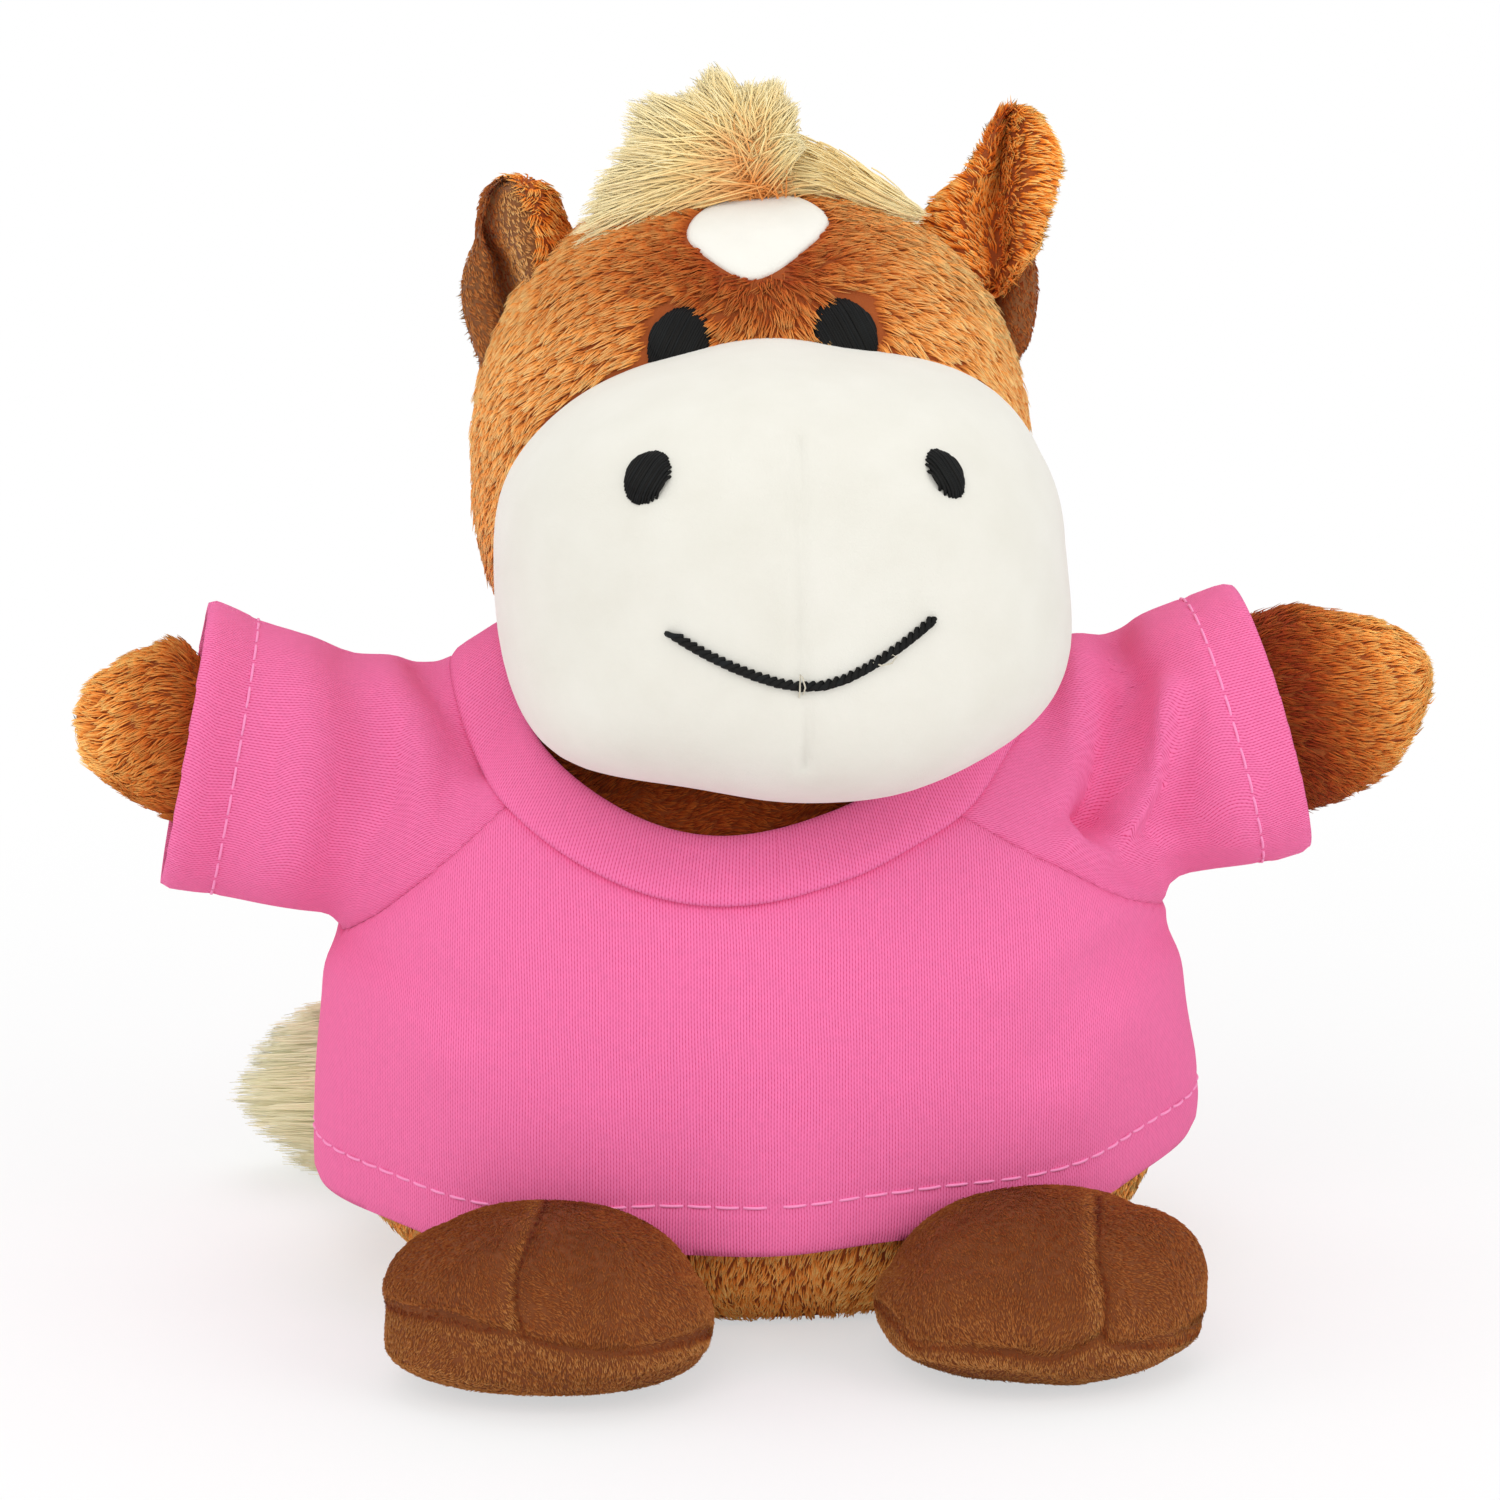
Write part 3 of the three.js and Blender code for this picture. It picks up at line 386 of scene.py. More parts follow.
def new_group(name, inputs, outputs):
    """A new shader group with named sockets, and its two ends."""
    group = bpy.data.node_groups.new(name, "ShaderNodeTree")
    for way, sockets in (("INPUT", inputs), ("OUTPUT", outputs)):
        for socket, kind in sockets.items():
            group.interface.new_socket(socket, in_out=way, socket_type="NodeSocket" + kind)
    return group, group.nodes.new("NodeGroupInput"), group.nodes.new("NodeGroupOutput")


def worked_out(tree, operation, *values):
    """A value worked out in a shader from values and from what other nodes put out."""
    return add(tree, "Math", dict(enumerate(values)), operation=operation).outputs[0]


def mixed(tree, share, first, second):
    """A colour between two, in a shader."""
    return add(tree, "Mix", {0: share, 6: first, 7: second}, data_type="RGBA").outputs[2]


def pile_colours():
    """Shader group: a fibre's colour from its dark root to its pale tip, each lock and each fibre
    a little paler or a little darker and deeper in colour than the next. The dark root is partly painted
    shade, the shade deep in the pile, and the pale tip is partly a painted highlight. The tuft's tone also
    carries the painted shade and painted light that pile's shade adds, and darker tones deepen in colour
    as pile does in shade."""
    group, enter, leave = new_group("pile_colours", {"Root": "Color", "Middle": "Color", "Tip": "Color",
                                                     "Unevenness": "Float"}, {"Color": "Color"})
    fibre = add(group, "Attribute", attribute_name="fibre")
    along, own_tone, tuft_tone = add(group, "SeparateColor", {0: fibre.outputs["Color"]}).outputs
    root_to_middle, middle_to_tip = (
        add(group, "MapRange", {"Value": along, "From Min": low, "From Max": high}).outputs[0]
        for low, high in ((0.05, 0.55), (0.5, 1.0)))
    lower = mixed(group, root_to_middle, enter.outputs["Root"], enter.outputs["Middle"])
    whole = mixed(group, middle_to_tip, lower, enter.outputs["Tip"])
    centred = worked_out(group, "SUBTRACT", worked_out(group, "ADD", own_tone, tuft_tone), 1)
    swing = worked_out(group, "MULTIPLY_ADD", centred, enter.outputs["Unevenness"], 1)
    bounded = add(group, "Clamp", {"Value": swing, "Min": 0.3, "Max": 1.4})
    deepen = add(group, "CombineColor", {channel: worked_out(group, "POWER", bounded.outputs[0], power)
                                         for channel, power in enumerate((1.0, 2.0, 2.9))})
    shade = add(group, "VectorMath", {0: whole, 1: deepen.outputs[0]}, operation="MULTIPLY")
    feed(leave, {"Color": shade.outputs[0]})
    return group


pile_group = pile_colours()


def pile_material(name, root, middle, tip, unevenness, sheen):
    """A pile fabric's fibres."""
    material, tree, surface = shader(name)
    colours = add(tree, "Group", {"Root": written(*root), "Middle": written(*middle), "Tip": written(*tip),
                                  "Unevenness": unevenness}, node_tree=pile_group)
    feed(surface, {"Base Color": colours.outputs[0], "Roughness": 0.8, "Specular IOR Level": 0.25,
                   "Sheen Weight": sheen, "Sheen Roughness": 0.45, "Sheen Tint": written(*tip)})
    return material


def nap_patches():
    """Shader group: uneven patches and fine grain of a cloth's ground, as a mask and a height."""
    group, enter, leave = new_group("nap_patches", {"Patch Size": "Float", "Grain Size": "Float"},
                                    {"Mask": "Float", "Height": "Float"})
    place = add(group, "TexCoord").outputs["Object"]
    for size, out, detail in (("Patch Size", "Mask", 4), ("Grain Size", "Height", 3)):
        scale = worked_out(group, "DIVIDE", 1, enter.outputs[size])
        cloud = add(group, "TexNoise", {"Vector": place, "Scale": scale, "Detail": detail})
        feed(leave, {out: cloud.outputs[0]})
    return group


nap_group = nap_patches()


def ground_material(name, dark, light, patch=4.0, grain=0.35, bump=0.4, sheen=0.2, height=0.3):
    """The ground of a pile or cotton cloth: two colours in soft patches, with a fine grain."""
    material, tree, surface = shader(name)
    patches = add(tree, "Group", {"Patch Size": patch * METRE, "Grain Size": grain * METRE}, node_tree=nap_group)
    relief = add(tree, "Bump", {"Strength": bump, "Distance": height * METRE, "Height": patches.outputs["Height"]})
    feed(surface, {"Base Color": mixed(tree, patches.outputs["Mask"], written(*dark), written(*light)),
                   "Normal": relief.outputs[0], "Roughness": 0.95, "Sheen Weight": sheen, "Sheen Roughness": 0.5})
    return material


BODY = form((0, 0, 22), 56, 46, 46, 56, 30, 2.6, plan=2.2, below=2.2)
NECK = form((0, 0, 74), 26, 26, 26, 26, 26, 2)
brown_pile = pile_material("brown_pile", (176, 78, 22), (250, 150, 60), (255, 204, 118), 0.15, 0.03)
# The ground under the pile is as dark as the shade between the tufts: its colour is partly painted shade.
brown_ground = ground_material("brown_ground", (140, 62, 18), (172, 86, 30), sheen=0.0)

ball, ball_faces = round_grid(28)
body_points = swell(ball, BODY, -0.8)
body_points[:, 2] = np.maximum(body_points[:, 2], 0.4)
from_middle = np.hypot(body_points[:, 0], body_points[:, 1])
SHOULDER_LEVEL, NECK_REACH = 60, 25
dome = NECK["at"][2] + np.sqrt(np.maximum((NECK_REACH + 0.2) ** 2 - from_middle ** 2, 0))
at_neck = (body_points[:, 2] > SHOULDER_LEVEL) & (from_middle < NECK_REACH)
body_points[at_neck, 2] = np.maximum(body_points[:, 2], dome)[at_neck]
centres = body_points[ball_faces].mean(1)
under = centres[:, 2] < 1.2
body_parts = {"front": ~under & (centres[:, 1] < 0), "back": ~under & (centres[:, 1] >= 0), "base": under}
for part, chosen in body_parts.items():
    panel = sewn(f"body_{part}_panel", body_points, ball_faces[chosen], brown_ground, "torso", "brown_pile",
                 f"body_{part}")


def comb_body(places):
    """Down the body, and across the chest."""
    across, chest = places[:, 0], places[:, 2:] > 50
    down = np.stack([0.15 * across / BODY["side"], 0 * across, -1 + 0 * across], -1)
    over = np.stack([0.9 + 0 * across, 0 * across, 0.7 * np.sin(across * 0.5)], -1)
    return np.where(chest, over, down)


pile("body_pile", body_points, ball_faces[~under], brown_pile, "torso", "brown_pile", comb_body,
     lambda p: (p[:, 2] < 21 + 0.07 * p[:, 1] + 0.04 * p[:, 0]) & (p[:, 2] > 1.5), seed=11, length=2.4, lie=16,
     width=0.28, per_square=5, shade=lambda p: 0.8 + 0 * p[:, 0])
# A darker copy of the brown pile for the chest, in the shade of the head and the neckband: painted shade.
chest_painted_shade_pile = pile_material("chest_painted_shade_pile", (100, 32, 5), (172, 70, 14), (214, 112, 40), 0.2, 0.0)
pile("chest_painted_shade_pile", body_points, ball_faces[~under], chest_painted_shade_pile, "torso", "brown_pile", comb_body,
     lambda p: (p[:, 2] > 63) & (p[:, 1] < 0), seed=12, length=2.0, lie=14, width=0.28, per_square=6)

# ---------------------------------------------------------------------------------------------------
# Head: a front and a back panel of the brown pile, sewn over the top of the head, filled tight and
# sewn to the neck. The pile is combed down and away from the middle of the forehead.

def in_picture(points):
    """Where the camera sees points, in the picture."""
    off = points - camera_eye
    away = -(off @ camera_back)
    return np.stack([PICTURE / 2 + focal * (off @ camera_right) / away,
                     PICTURE / 2 - focal * (off @ camera_up) / away], -1)


def smoothed(ring, times):
    """Values round a ring, each evened out so many times with its neighbours."""
    for _ in range(times):
        ring = (np.roll(ring, 1, 0) + 2 * ring + np.roll(ring, -1, 0)) / 4
    return ring


def to_outline(points, outline, middle, inside=0.0):
    """Points moved across the line of sight until their outline in the picture is the given one, or
    lies inside it by so many millimetres. Where none is given they stay."""
    turns = 72
    off = in_picture(points) - middle
    angle = np.arctan2(off[:, 1], off[:, 0])
    size = np.hypot(off[:, 0], off[:, 1])
    slot_of = np.round((angle + math.pi) / (2 * math.pi) * turns).astype(int) % turns
    own = np.zeros(turns)
    np.maximum.at(own, slot_of, size)
    outline = np.asarray(outline, float) - middle
    given = np.arctan2(outline[:, 1], outline[:, 0])
    far = np.hypot(outline[:, 0], outline[:, 1]) - inside * SCALE_IN_PICTURE
    order = np.argsort(given)
    given, far = given[order], far[order]
    given = np.concatenate([given - 2 * math.pi, given, given + 2 * math.pi])
    far = np.tile(far, 3)
    centres = np.arange(turns) / turns * 2 * math.pi - math.pi
    wanted = np.interp(centres, given, far)
    after = np.searchsorted(given, centres)
    known = given[np.clip(after, 0, len(given) - 1)] - given[np.clip(after - 1, 0, None)] < 0.6
    ratio = smoothed(np.where(known, wanted / own, 1.0), 3)
    grow = np.interp(angle, np.append(centres, math.pi), np.append(ratio, ratio[0])) - 1
    away = -((points - camera_eye) @ camera_back)
    shift = off * (grow * away / focal)[:, None]
    return points + camera_right * shift[:, :1] - camera_up * shift[:, 1:]


SKULL = form((0, 0, 108), 37.3, 34, 34, 37.5, 36, 2.35)
MUZZLE = form((1.5, -31, 101.5), 37, 38, 26, 27.5, 27, 2.4, plan=2.3, below=3.2)
HEAD_RIM = 84.5
head_points = swell(ball, SKULL, -1.2)
low = head_points[:, 2] < HEAD_RIM
tuck = np.clip((HEAD_RIM - head_points[:, 2]) / 12, 0, 1)
head_points[low, :2] *= (1 - 0.9 * tuck[low])[:, None]
head_points[low, 2] = HEAD_RIM - 1.5 * tuck[low]
head_centres = head_points[ball_faces].mean(1)
for part, chosen in (("front", head_centres[:, 1] < 4), ("back", head_centres[:, 1] >= 4)):
    panel = sewn(f"head_{part}_panel", head_points, ball_faces[chosen], brown_ground, "head", "brown_pile",
                 f"head_{part}")


def comb_head(places):
    """Away from the forehead's middle to the sides, and down the sides and the back."""
    off = places - np.array([0, -16, 140])
    side = np.tanh(off[:, 0] / 9)
    return np.stack([side * 0.95, 0.3 + 0 * side, -0.75 - 0.55 * np.abs(off[:, 0]) / 37], -1)


def sight_lines(seen):
    """The camera's lines of sight through places in the picture, one step long along its view."""
    seen = np.atleast_2d(np.asarray(seen, float))
    return (camera_right * (seen[:, :1] - PICTURE / 2) / focal
            + camera_up * (PICTURE / 2 - seen[:, 1:]) / focal - camera_back)


def tree_of(points, faces):
    """A piece's surface, to find places on it."""
    return BVHTree.FromPolygons(points.tolist(), faces.tolist())


def meet(tree, seen):
    """Where the camera's lines of sight through places in the picture first meet a surface, and the
    outward direction there. A line that passes it by takes the nearest place."""
    places, outward, away = [], [], CAMERA_DISTANCE - 40
    for line in sight_lines(seen):
        place, normal, _, far = tree.ray_cast(Vector(camera_eye), Vector(line))
        if place is None:
            place, normal, _, _ = tree.find_nearest(Vector(camera_eye + line * away))
        else:
            away = far / np.linalg.norm(line)
        places.append(place[:])
        outward.append(normal[:])
    return np.array(places), np.array(outward)


def within(outline, places):
    """Whether places lie inside a closed outline."""
    outline = np.asarray(outline, float)
    x, y = places[:, 0], places[:, 1]
    inside = np.zeros(len(places), bool)
    for (ax, ay), (bx, by) in zip(outline, np.roll(outline, -1, 0)):
        crossing = (ay > y) != (by > y)
        with np.errstate(divide="ignore", invalid="ignore"):
            inside ^= crossing & (x < (bx - ax) * (y - ay) / (by - ay) + ax)
    return inside


BLAZE = np.array([(738, 194), (762, 190), (790, 194), (812, 202), (827, 213), (831, 223), (823, 235), (808, 248),
                  (790, 263), (772, 275), (756, 281), (741, 280), (722, 269), (702, 255), (688, 243), (685, 232),
                  (693, 216), (713, 203)], float)
# Each eye's middle in the picture, its half width and half height there, and its slant in degrees.
EYES = {"right": ((679, 344), 29, 38, 26), "left": ((845, 336), 30, 39, -28)}


def slanted(places, degrees):
    """Places in the picture turned about its corner, clockwise as they are seen."""
    cos, sin = math.cos(math.radians(degrees)), math.sin(math.radians(degrees))
    x, y = places[..., 0], places[..., 1]
    return np.stack([x * cos - y * sin, x * sin + y * cos], -1)


def under_patch(places):
    """Whether a place on the head is under the forehead patch or an eye, or its pile would lie over
    one."""
    seen = in_picture(places)
    hidden = within(BLAZE.mean(0) + (BLAZE - BLAZE.mean(0)) * 0.9, seen)
    for middle, across, over, slant in EYES.values():
        for above in (0, 8, 15):
            along, down = slanted(seen + (0, above) - np.array(middle), -slant).T
            hidden |= (along / across) ** 2 + (down / over) ** 2 < 0.85
    return hidden & (places[:, 1] < 4)


def head_painted_shade_and_light(places):
    """Painted shade about the forehead's middle, where the pile stands up and the eye looks down into
    it, and painted light towards the pony's left side of the head, which the key lamp lights less.
    """
    off = in_picture(places) - np.array([750, 262])
    middle = -3.8 * np.exp(-(off[:, 0] / 140) ** 2 - (off[:, 1] / 72) ** 2) * (places[:, 1] < 10)
    return middle + 0.7 * np.clip(off[:, 0] / 200, 0, 1)


head_pile = pile_material("head_pile", (176, 82, 26), (250, 160, 74), (252, 210, 138), 0.15, 0.03)
pile("head_pile", head_points, ball_faces, head_pile, "head", "brown_pile", comb_head,
     lambda p: (p[:, 2] > HEAD_RIM - 0.5) & (depth_in(MUZZLE, p) > 0.97) & ~under_patch(p), seed=21,
     per_square=6.5, length=3.0, width=0.27, lie=16, ruffle=0.32, tuft=11, gather=0.62, most=33000,
     shade=head_painted_shade_and_light)

# ---------------------------------------------------------------------------------------------------
# Muzzle: one white panel of very short pile, with a dart sewn down its middle, filled tight and sewn
# to the head's front over the brown pile.

white_pile = ground_material("white_pile", (222, 219, 207), (234, 232, 223), patch=9, grain=0.22, bump=0.35,
                             sheen=0.35, height=0.12)
MUZZLE_DART = [(800, 440), (800, 475), (801, 560), (802, 650), (804, 720), (805, 765)]


def near_line(places, line):
    """How far places in the picture are from a line through given places."""
    line = np.asarray(line, float)
    best = np.full(len(places), 1e9)
    for a, b in zip(line, line[1:]):
        span = b - a
        share = np.clip(((places - a) @ span) / (span @ span), 0, 1)
        best = np.minimum(best, np.linalg.norm(places - a - share[:, None] * span, axis=1))
    return best


fine_ball, fine_faces = round_grid(72)
MUZZLE_OUTLINE = [(504, 473), (533, 438), (574, 395), (616, 374), (657, 357), (699, 347), (765, 334), (802, 337),
                  (844, 347), (906, 355), (947, 361), (989, 382), (1026, 419), (1047, 474), (1068, 578),
                  (1073, 620), (1072, 655), (1051, 706), (1010, 744), (947, 781), (885, 801), (823, 803),
                  (740, 797), (682, 787), (607, 777), (554, 765), (520, 711), (505, 660), (496, 615), (493, 549)]
muzzle_points = to_outline(swell(fine_ball, MUZZLE, -0.2), MUZZLE_OUTLINE, (785, 570))
seen = in_picture(muzzle_points)
facing_out = normals_of(muzzle_points, fine_faces)
ahead = np.clip(-facing_out[:, 1] * 2, 0, 1)
apart = near_line(seen, MUZZLE_DART) / SCALE_IN_PICTURE
dart = -0.45 * np.exp(-(apart / 0.45) ** 2) + 0.25 * np.exp(-((apart - 2.2) / 1.6) ** 2)
muzzle_points = outside_fill(muzzle_points + facing_out * (dart * ahead)[:, None], MUZZLE, 1.45)
muzzle_tree = tree_of(muzzle_points, fine_faces)
head_tree = tree_of(head_points, ball_faces)
muzzle = sewn("muzzle_panel", muzzle_points, fine_faces, white_pile, "head", "white_pile", "muzzle")

# ---------------------------------------------------------------------------------------------------
# Face: eyes and nostrils in black satin stitch and a mouth in black stem stitch, worked through the
# pile, and a white patch on the forehead with its edge turned under.

black_thread, thread_tree, thread_surface = shader("black_thread")
thread_colours = add(thread_tree, "Group", {"Root": written(8, 8, 8), "Middle": written(20, 20, 19),
                                            "Tip": written(10, 10, 10), "Unevenness": 0.3}, node_tree=pile_group)
feed(thread_surface, {"Base Color": thread_colours.outputs[0], "Roughness": 0.75, "Specular IOR Level": 0.25})
white_patch = ground_material("white_patch", (233, 231, 222), (243, 241, 233), patch=6, grain=0.2, bump=0.35,
                              sheen=0.3, height=0.12)


def along_line(line, at, knots=None):
    """Places on a line through given points, at so many points along it, or as knots number them."""
    line = np.asarray(line, float)
    knots = range(len(line)) if knots is None else knots
    return np.stack([np.interp(at, knots, part) for part in line.T], -1)


def lengths_to(line):
    """How far along a line each of its points lies."""
    return np.concatenate([[0], np.cumsum(np.linalg.norm(np.diff(line, axis=0), axis=1))])


SATIN_PITCH = 2.3


def satin(name, tree, middle, across, over, slant, seed, swell_by, node):
    """Threads side by side over an oval of the picture, raised in its middle and sunk at its edge."""
    draw = np.random.default_rng(seed)
    lines, rises = [], []
    for offset in np.arange(-across + SATIN_PITCH / 2, across, SATIN_PITCH):
        half = over * math.sqrt(max(0.0, 1 - (offset / across) ** 2))
        if half < 2:
            continue
        half += draw.uniform(-0.8, 0.8)
        share = np.linspace(-1, 1, 9)
        x, y = offset + 0.2 * draw.normal() + 0 * share, half * share
        lines.append(middle + slanted(np.stack([x, y], -1), slant))
        round_off = np.sqrt(np.clip(1 - (offset / across) ** 2, 0, 1))
        height = 0.2 + 0.1 * draw.random() + swell_by * round_off
        rises.append(height * np.clip(1 - np.abs(share) ** 3, 0, 1) - 0.15 * np.abs(share) ** 6)
    lines, rises = np.array(lines), np.array(rises)
    on_skin, out = (part.reshape(*lines.shape[:2], 3) for part in meet(tree, lines.reshape(-1, 2)))
    paths = on_skin + out * (rises[..., None] + 0.15)
    tone = np.stack([draw.random(len(lines)), np.full(len(lines), 0.5)], -1)
    threads = tubes(name, paths, 0.21, tone, black_thread, "head", "black_thread", sides=6)
    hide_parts(node)

    rim = np.linspace(0, 2 * math.pi, 40, endpoint=False)
    rings = [(0.0, 0.25), (0.45, 0.22), (0.8, 0.12), (0.97, -0.1)]
    oval = slanted(np.stack([across * np.cos(rim), over * np.sin(rim)], -1), slant)
    oval = np.concatenate([middle + oval * s for s, _ in rings])
    pad, out = meet(tree, oval)
    pad += out * np.repeat([h for _, h in rings], len(rim))[:, None]
    faces = ring_faces(len(rings), len(rim))[:, INWARD]
    sewn(name + "_underlay", pad, faces, black_thread, "head", "black_thread")


for side, (middle, across, over, slant) in EYES.items():
    satin(f"eye_{side}_stitches", head_tree, middle, across, over, slant, 31 + len(side), 0.75, f"eye_{side}")
satin("nostril_right_stitches", muzzle_tree, (648, 478), 20, 28, 32, 41, 0.5, "nostril_right")
satin("nostril_left_stitches", muzzle_tree, (945, 474), 14, 27, -32, 42, 0.5, "nostril_left")

SMILE = np.array([(668, 631), (686, 643), (707, 655), (732, 667), (757, 677), (780, 684), (802, 688), (824, 687),
                  (846, 680), (865, 669), (882, 659), (898, 648), (916, 634), (933, 619)], float)
SMILE[1:-1] = (SMILE[:-2] + 2 * SMILE[1:-1] + SMILE[2:]) / 4
reach = lengths_to(SMILE)
STEM_STITCH, STEM_STEP, STEM_SLANT = 15.0, 8.0, 3.0
starts = np.arange(0, reach[-1] - STEM_STITCH * 0.6, STEM_STEP)
stem = []
for start in starts:
    share = np.linspace(0, 1, 7)
    line = along_line(SMILE, np.clip(start + share * STEM_STITCH, 0, reach[-1]), reach)
    heading = unit(np.gradient(line, axis=0))
    line += np.stack([heading[:, 1], -heading[:, 0]], -1) * ((share - 0.5) * 2 * STEM_SLANT)[:, None]
    skin, out = meet(muzzle_tree, line)
    stem.append(skin + out * (0.75 * np.sin(share * math.pi)[:, None] - 0.05))
draw = np.random.default_rng(5)
mouth = tubes("mouth_stitches", np.array(stem), 0.36, draw.random((len(stem), 2)), black_thread, "head",
              "black_thread", sides=6)
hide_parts("mouth")

loose_thread = ground_material("loose_thread", (196, 186, 160), (232, 226, 208), patch=2, grain=0.2)
# Two loose loops of thread at the mouth, in the picture, and their heights over the skin.
LOOPS = (((799, 697), (800, 688), (802, 672), (804, 674), (806, 685), (803, 694)),
         ((872, 662), (880, 664), (889, 661), (894, 655), (890, 653), (886, 660)))
loops = []
for loop, heights in zip(LOOPS, ((0.1, 1.2, 1.4, 1.5, 1.3, 0.2), (0.5, 0.9, 1.2, 1.0, 0.8, 0.5))):
    skin, out = meet(muzzle_tree, loop)
    loops.append(skin + out * np.array(heights)[:, None])
tubes("mouth_loose_threads", np.array(loops), 0.1, draw.random((2, 2)), loose_thread, "head", "black_thread",
      sides=6)

blaze_middle = BLAZE.mean(0)
# From the patch's middle to its turned edge: a share of its outline and a height over the skin.
BLAZE_RINGS = [(0.0, 0.75), (0.3, 0.75), (0.6, 0.7), (0.85, 0.55), (0.95, 0.35), (1.0, 0.0), (0.985, -0.5)]
smooth_line = np.concatenate([[a * (1 - t) + b * t for t in (0, 0.25, 0.5, 0.75)] for a, b in
                              zip(BLAZE, np.roll(BLAZE, -1, 0))])
smooth_line = smoothed(smooth_line, 6)
rim_count = len(smooth_line)
kite = np.concatenate([blaze_middle + (smooth_line - blaze_middle) * s for s, _ in BLAZE_RINGS])
kite_points, kite_out = meet(head_tree, kite)
kite_points += kite_out * np.repeat([h for _, h in BLAZE_RINGS], rim_count)[:, None]
kite_faces = ring_faces(len(BLAZE_RINGS), rim_count)
blaze = sewn("forehead_patch", kite_points, kite_faces, white_patch, "head", "white_pile", "forehead_blaze")

# ---------------------------------------------------------------------------------------------------
# Mane: long cream pile in locks, orange at the roots. A forelock fans up and to the pony's right, a
# thin strip runs to its left ear, and a crest goes down the back of the head.

cream_pile = pile_material("cream_pile", (240, 154, 78), (255, 226, 158), (255, 240, 192), 0.05, 0.0)
WHORL = np.array([748.0, 164.0])
MANE_EDGE = np.array([
    (572, 246), (573, 232), (584, 207), (596, 185), (600, 171), (614, 165), (612, 154), (625, 140), (625, 124),
    (626, 104), (640, 100), (656, 93), (672, 98), (686, 91), (695, 80), (711, 68), (719, 67), (731, 80), (736, 88),
    (747, 82), (758, 86), (768, 82), (784, 82), (782, 96), (799, 107), (793, 125), (800, 140), (815, 155)], float)
edge_turn = np.arctan2(WHORL[1] - MANE_EDGE[:, 1], MANE_EDGE[:, 0] - WHORL[0])
edge_turn = np.where(edge_turn < -1, edge_turn + 2 * math.pi, edge_turn)[::-1]
edge_reach = np.linalg.norm(MANE_EDGE - WHORL, axis=1)[::-1]


PER_LOCK = 24


def locks(leads, spread, seed, thick):
    """Locks of long fibres: each lead is a line of points, and its fibres gather towards its end. Gives
    their paths, their half widths and their tones."""
    draw = np.random.default_rng(seed)
    taper = np.array([1, 1, 1, 1, 0.95, 0.85, 0.7, 0.25])
    share = np.linspace(0, 1, len(taper))
    paths, tones = [], []
    for lead in leads:
        line = along_line(lead, share, np.linspace(0, 1, len(lead)))
        line[1:-1] = (line[:-2] + 2 * line[1:-1] + line[2:]) / 4
        lock_tone = draw.random()
        offset = draw.normal(size=(PER_LOCK, 3)) * spread
        fan_out = 1 - 0.72 * share[None, :, None] ** 2
        cut = draw.uniform(0.78, 1.04, PER_LOCK)[:, None, None]
        wander = np.cumsum(draw.normal(size=(PER_LOCK, len(taper), 3)) * 0.35, axis=1) * share[None, :, None]
        start = line[:1][None]
        paths.append(start + (line[None] - start) * cut + offset[:, None] * fan_out + 0.14 * wander)
        tones.append(np.stack([draw.random(PER_LOCK), np.full(PER_LOCK, lock_tone)], -1))
    return np.concatenate(paths), thick * taper[None], np.concatenate(tones)


def crown(across, back):
    """A place just inside the skin on top of the head."""
    square = SKULL["square"]
    left = 1 - (abs(across) / SKULL["side"]) ** square - (abs(back) / SKULL["front"]) ** square
    return np.array([across, back, SKULL["at"][2] + SKULL["up"] * left ** (1 / square) - 1])


def fan_tip(angle, share):
    """A place in the picture, so far from the whorl towards the mane's edge."""
    return WHORL + np.interp(angle, edge_turn, edge_reach) * share * np.array([math.cos(angle), -math.sin(angle)])


BULK_LEADS, FRONT_LEADS, FRINGE_LEADS, STRIP_LEADS, CREST_LEADS = 430, 330, 190, 420, 260
draw = np.random.default_rng(51)
mane_leads = []
whorl_away = (np.array([-0.2, -4, 150]) - camera_eye) @ -camera_back
for i in range(BULK_LEADS):
    angle = draw.uniform(0.15, 3.62)
    tip_seen = fan_tip(angle, 0.97 if i % 3 == 0 else draw.uniform(0.6, 0.95))
    depth = draw.uniform(-1, 1)
    root = crown(draw.uniform(-3.5, 3.0), 1 + 6.5 * depth + draw.uniform(-1, 1))
    tip = camera_eye + sight_lines(tip_seen)[0] * (whorl_away + 5.5 * depth + draw.uniform(-1.5, 1.5))
    lift = np.array([0, 0, 1]) * (2.5 + 2.0 * draw.random())
    middle = root + (tip - root) * 0.5 + lift * 0.7
    mane_leads.append([root, root + (middle - root) * 0.55 + lift * 0.35, middle,
                       middle + (tip - middle) * 0.55 + lift * 0.1, tip])
for i in range(FRONT_LEADS):
    angle = draw.uniform(0.3, 3.66)
    tip_seen = fan_tip(angle, 0.98 if i % 2 == 0 else draw.uniform(0.55, 0.95))
    start_seen = WHORL + np.array([draw.uniform(-8, 8) + 4, draw.uniform(-16, 24)])
    bow = 6.0 * math.sin(angle) ** 2 * np.array([0, -1.0])
    lead = []
    for share in np.linspace(0, 1, 6):
        spot = start_seen + (tip_seen - start_seen) * share + bow * math.sin(share * math.pi)
        near = -6.5 + 4.5 * (1 - share) ** 2 + 3.5 * share ** 2
        lead.append(camera_eye + sight_lines(spot)[0] * (whorl_away + near + draw.uniform(-0.5, 0.5)))
    mane_leads.append(lead)


def over_head(spot, raised):
    """A place in the picture, carried to just above the head's top or just before its front."""
    line = sight_lines(spot)[0]
    near = (-3 - camera_eye[1]) / line[1]
    place, _, _, far = head_tree.ray_cast(Vector(camera_eye), Vector(line))
    if place is not None:
        near = min(near, far / np.linalg.norm(line) - raised)
    return camera_eye + line * near


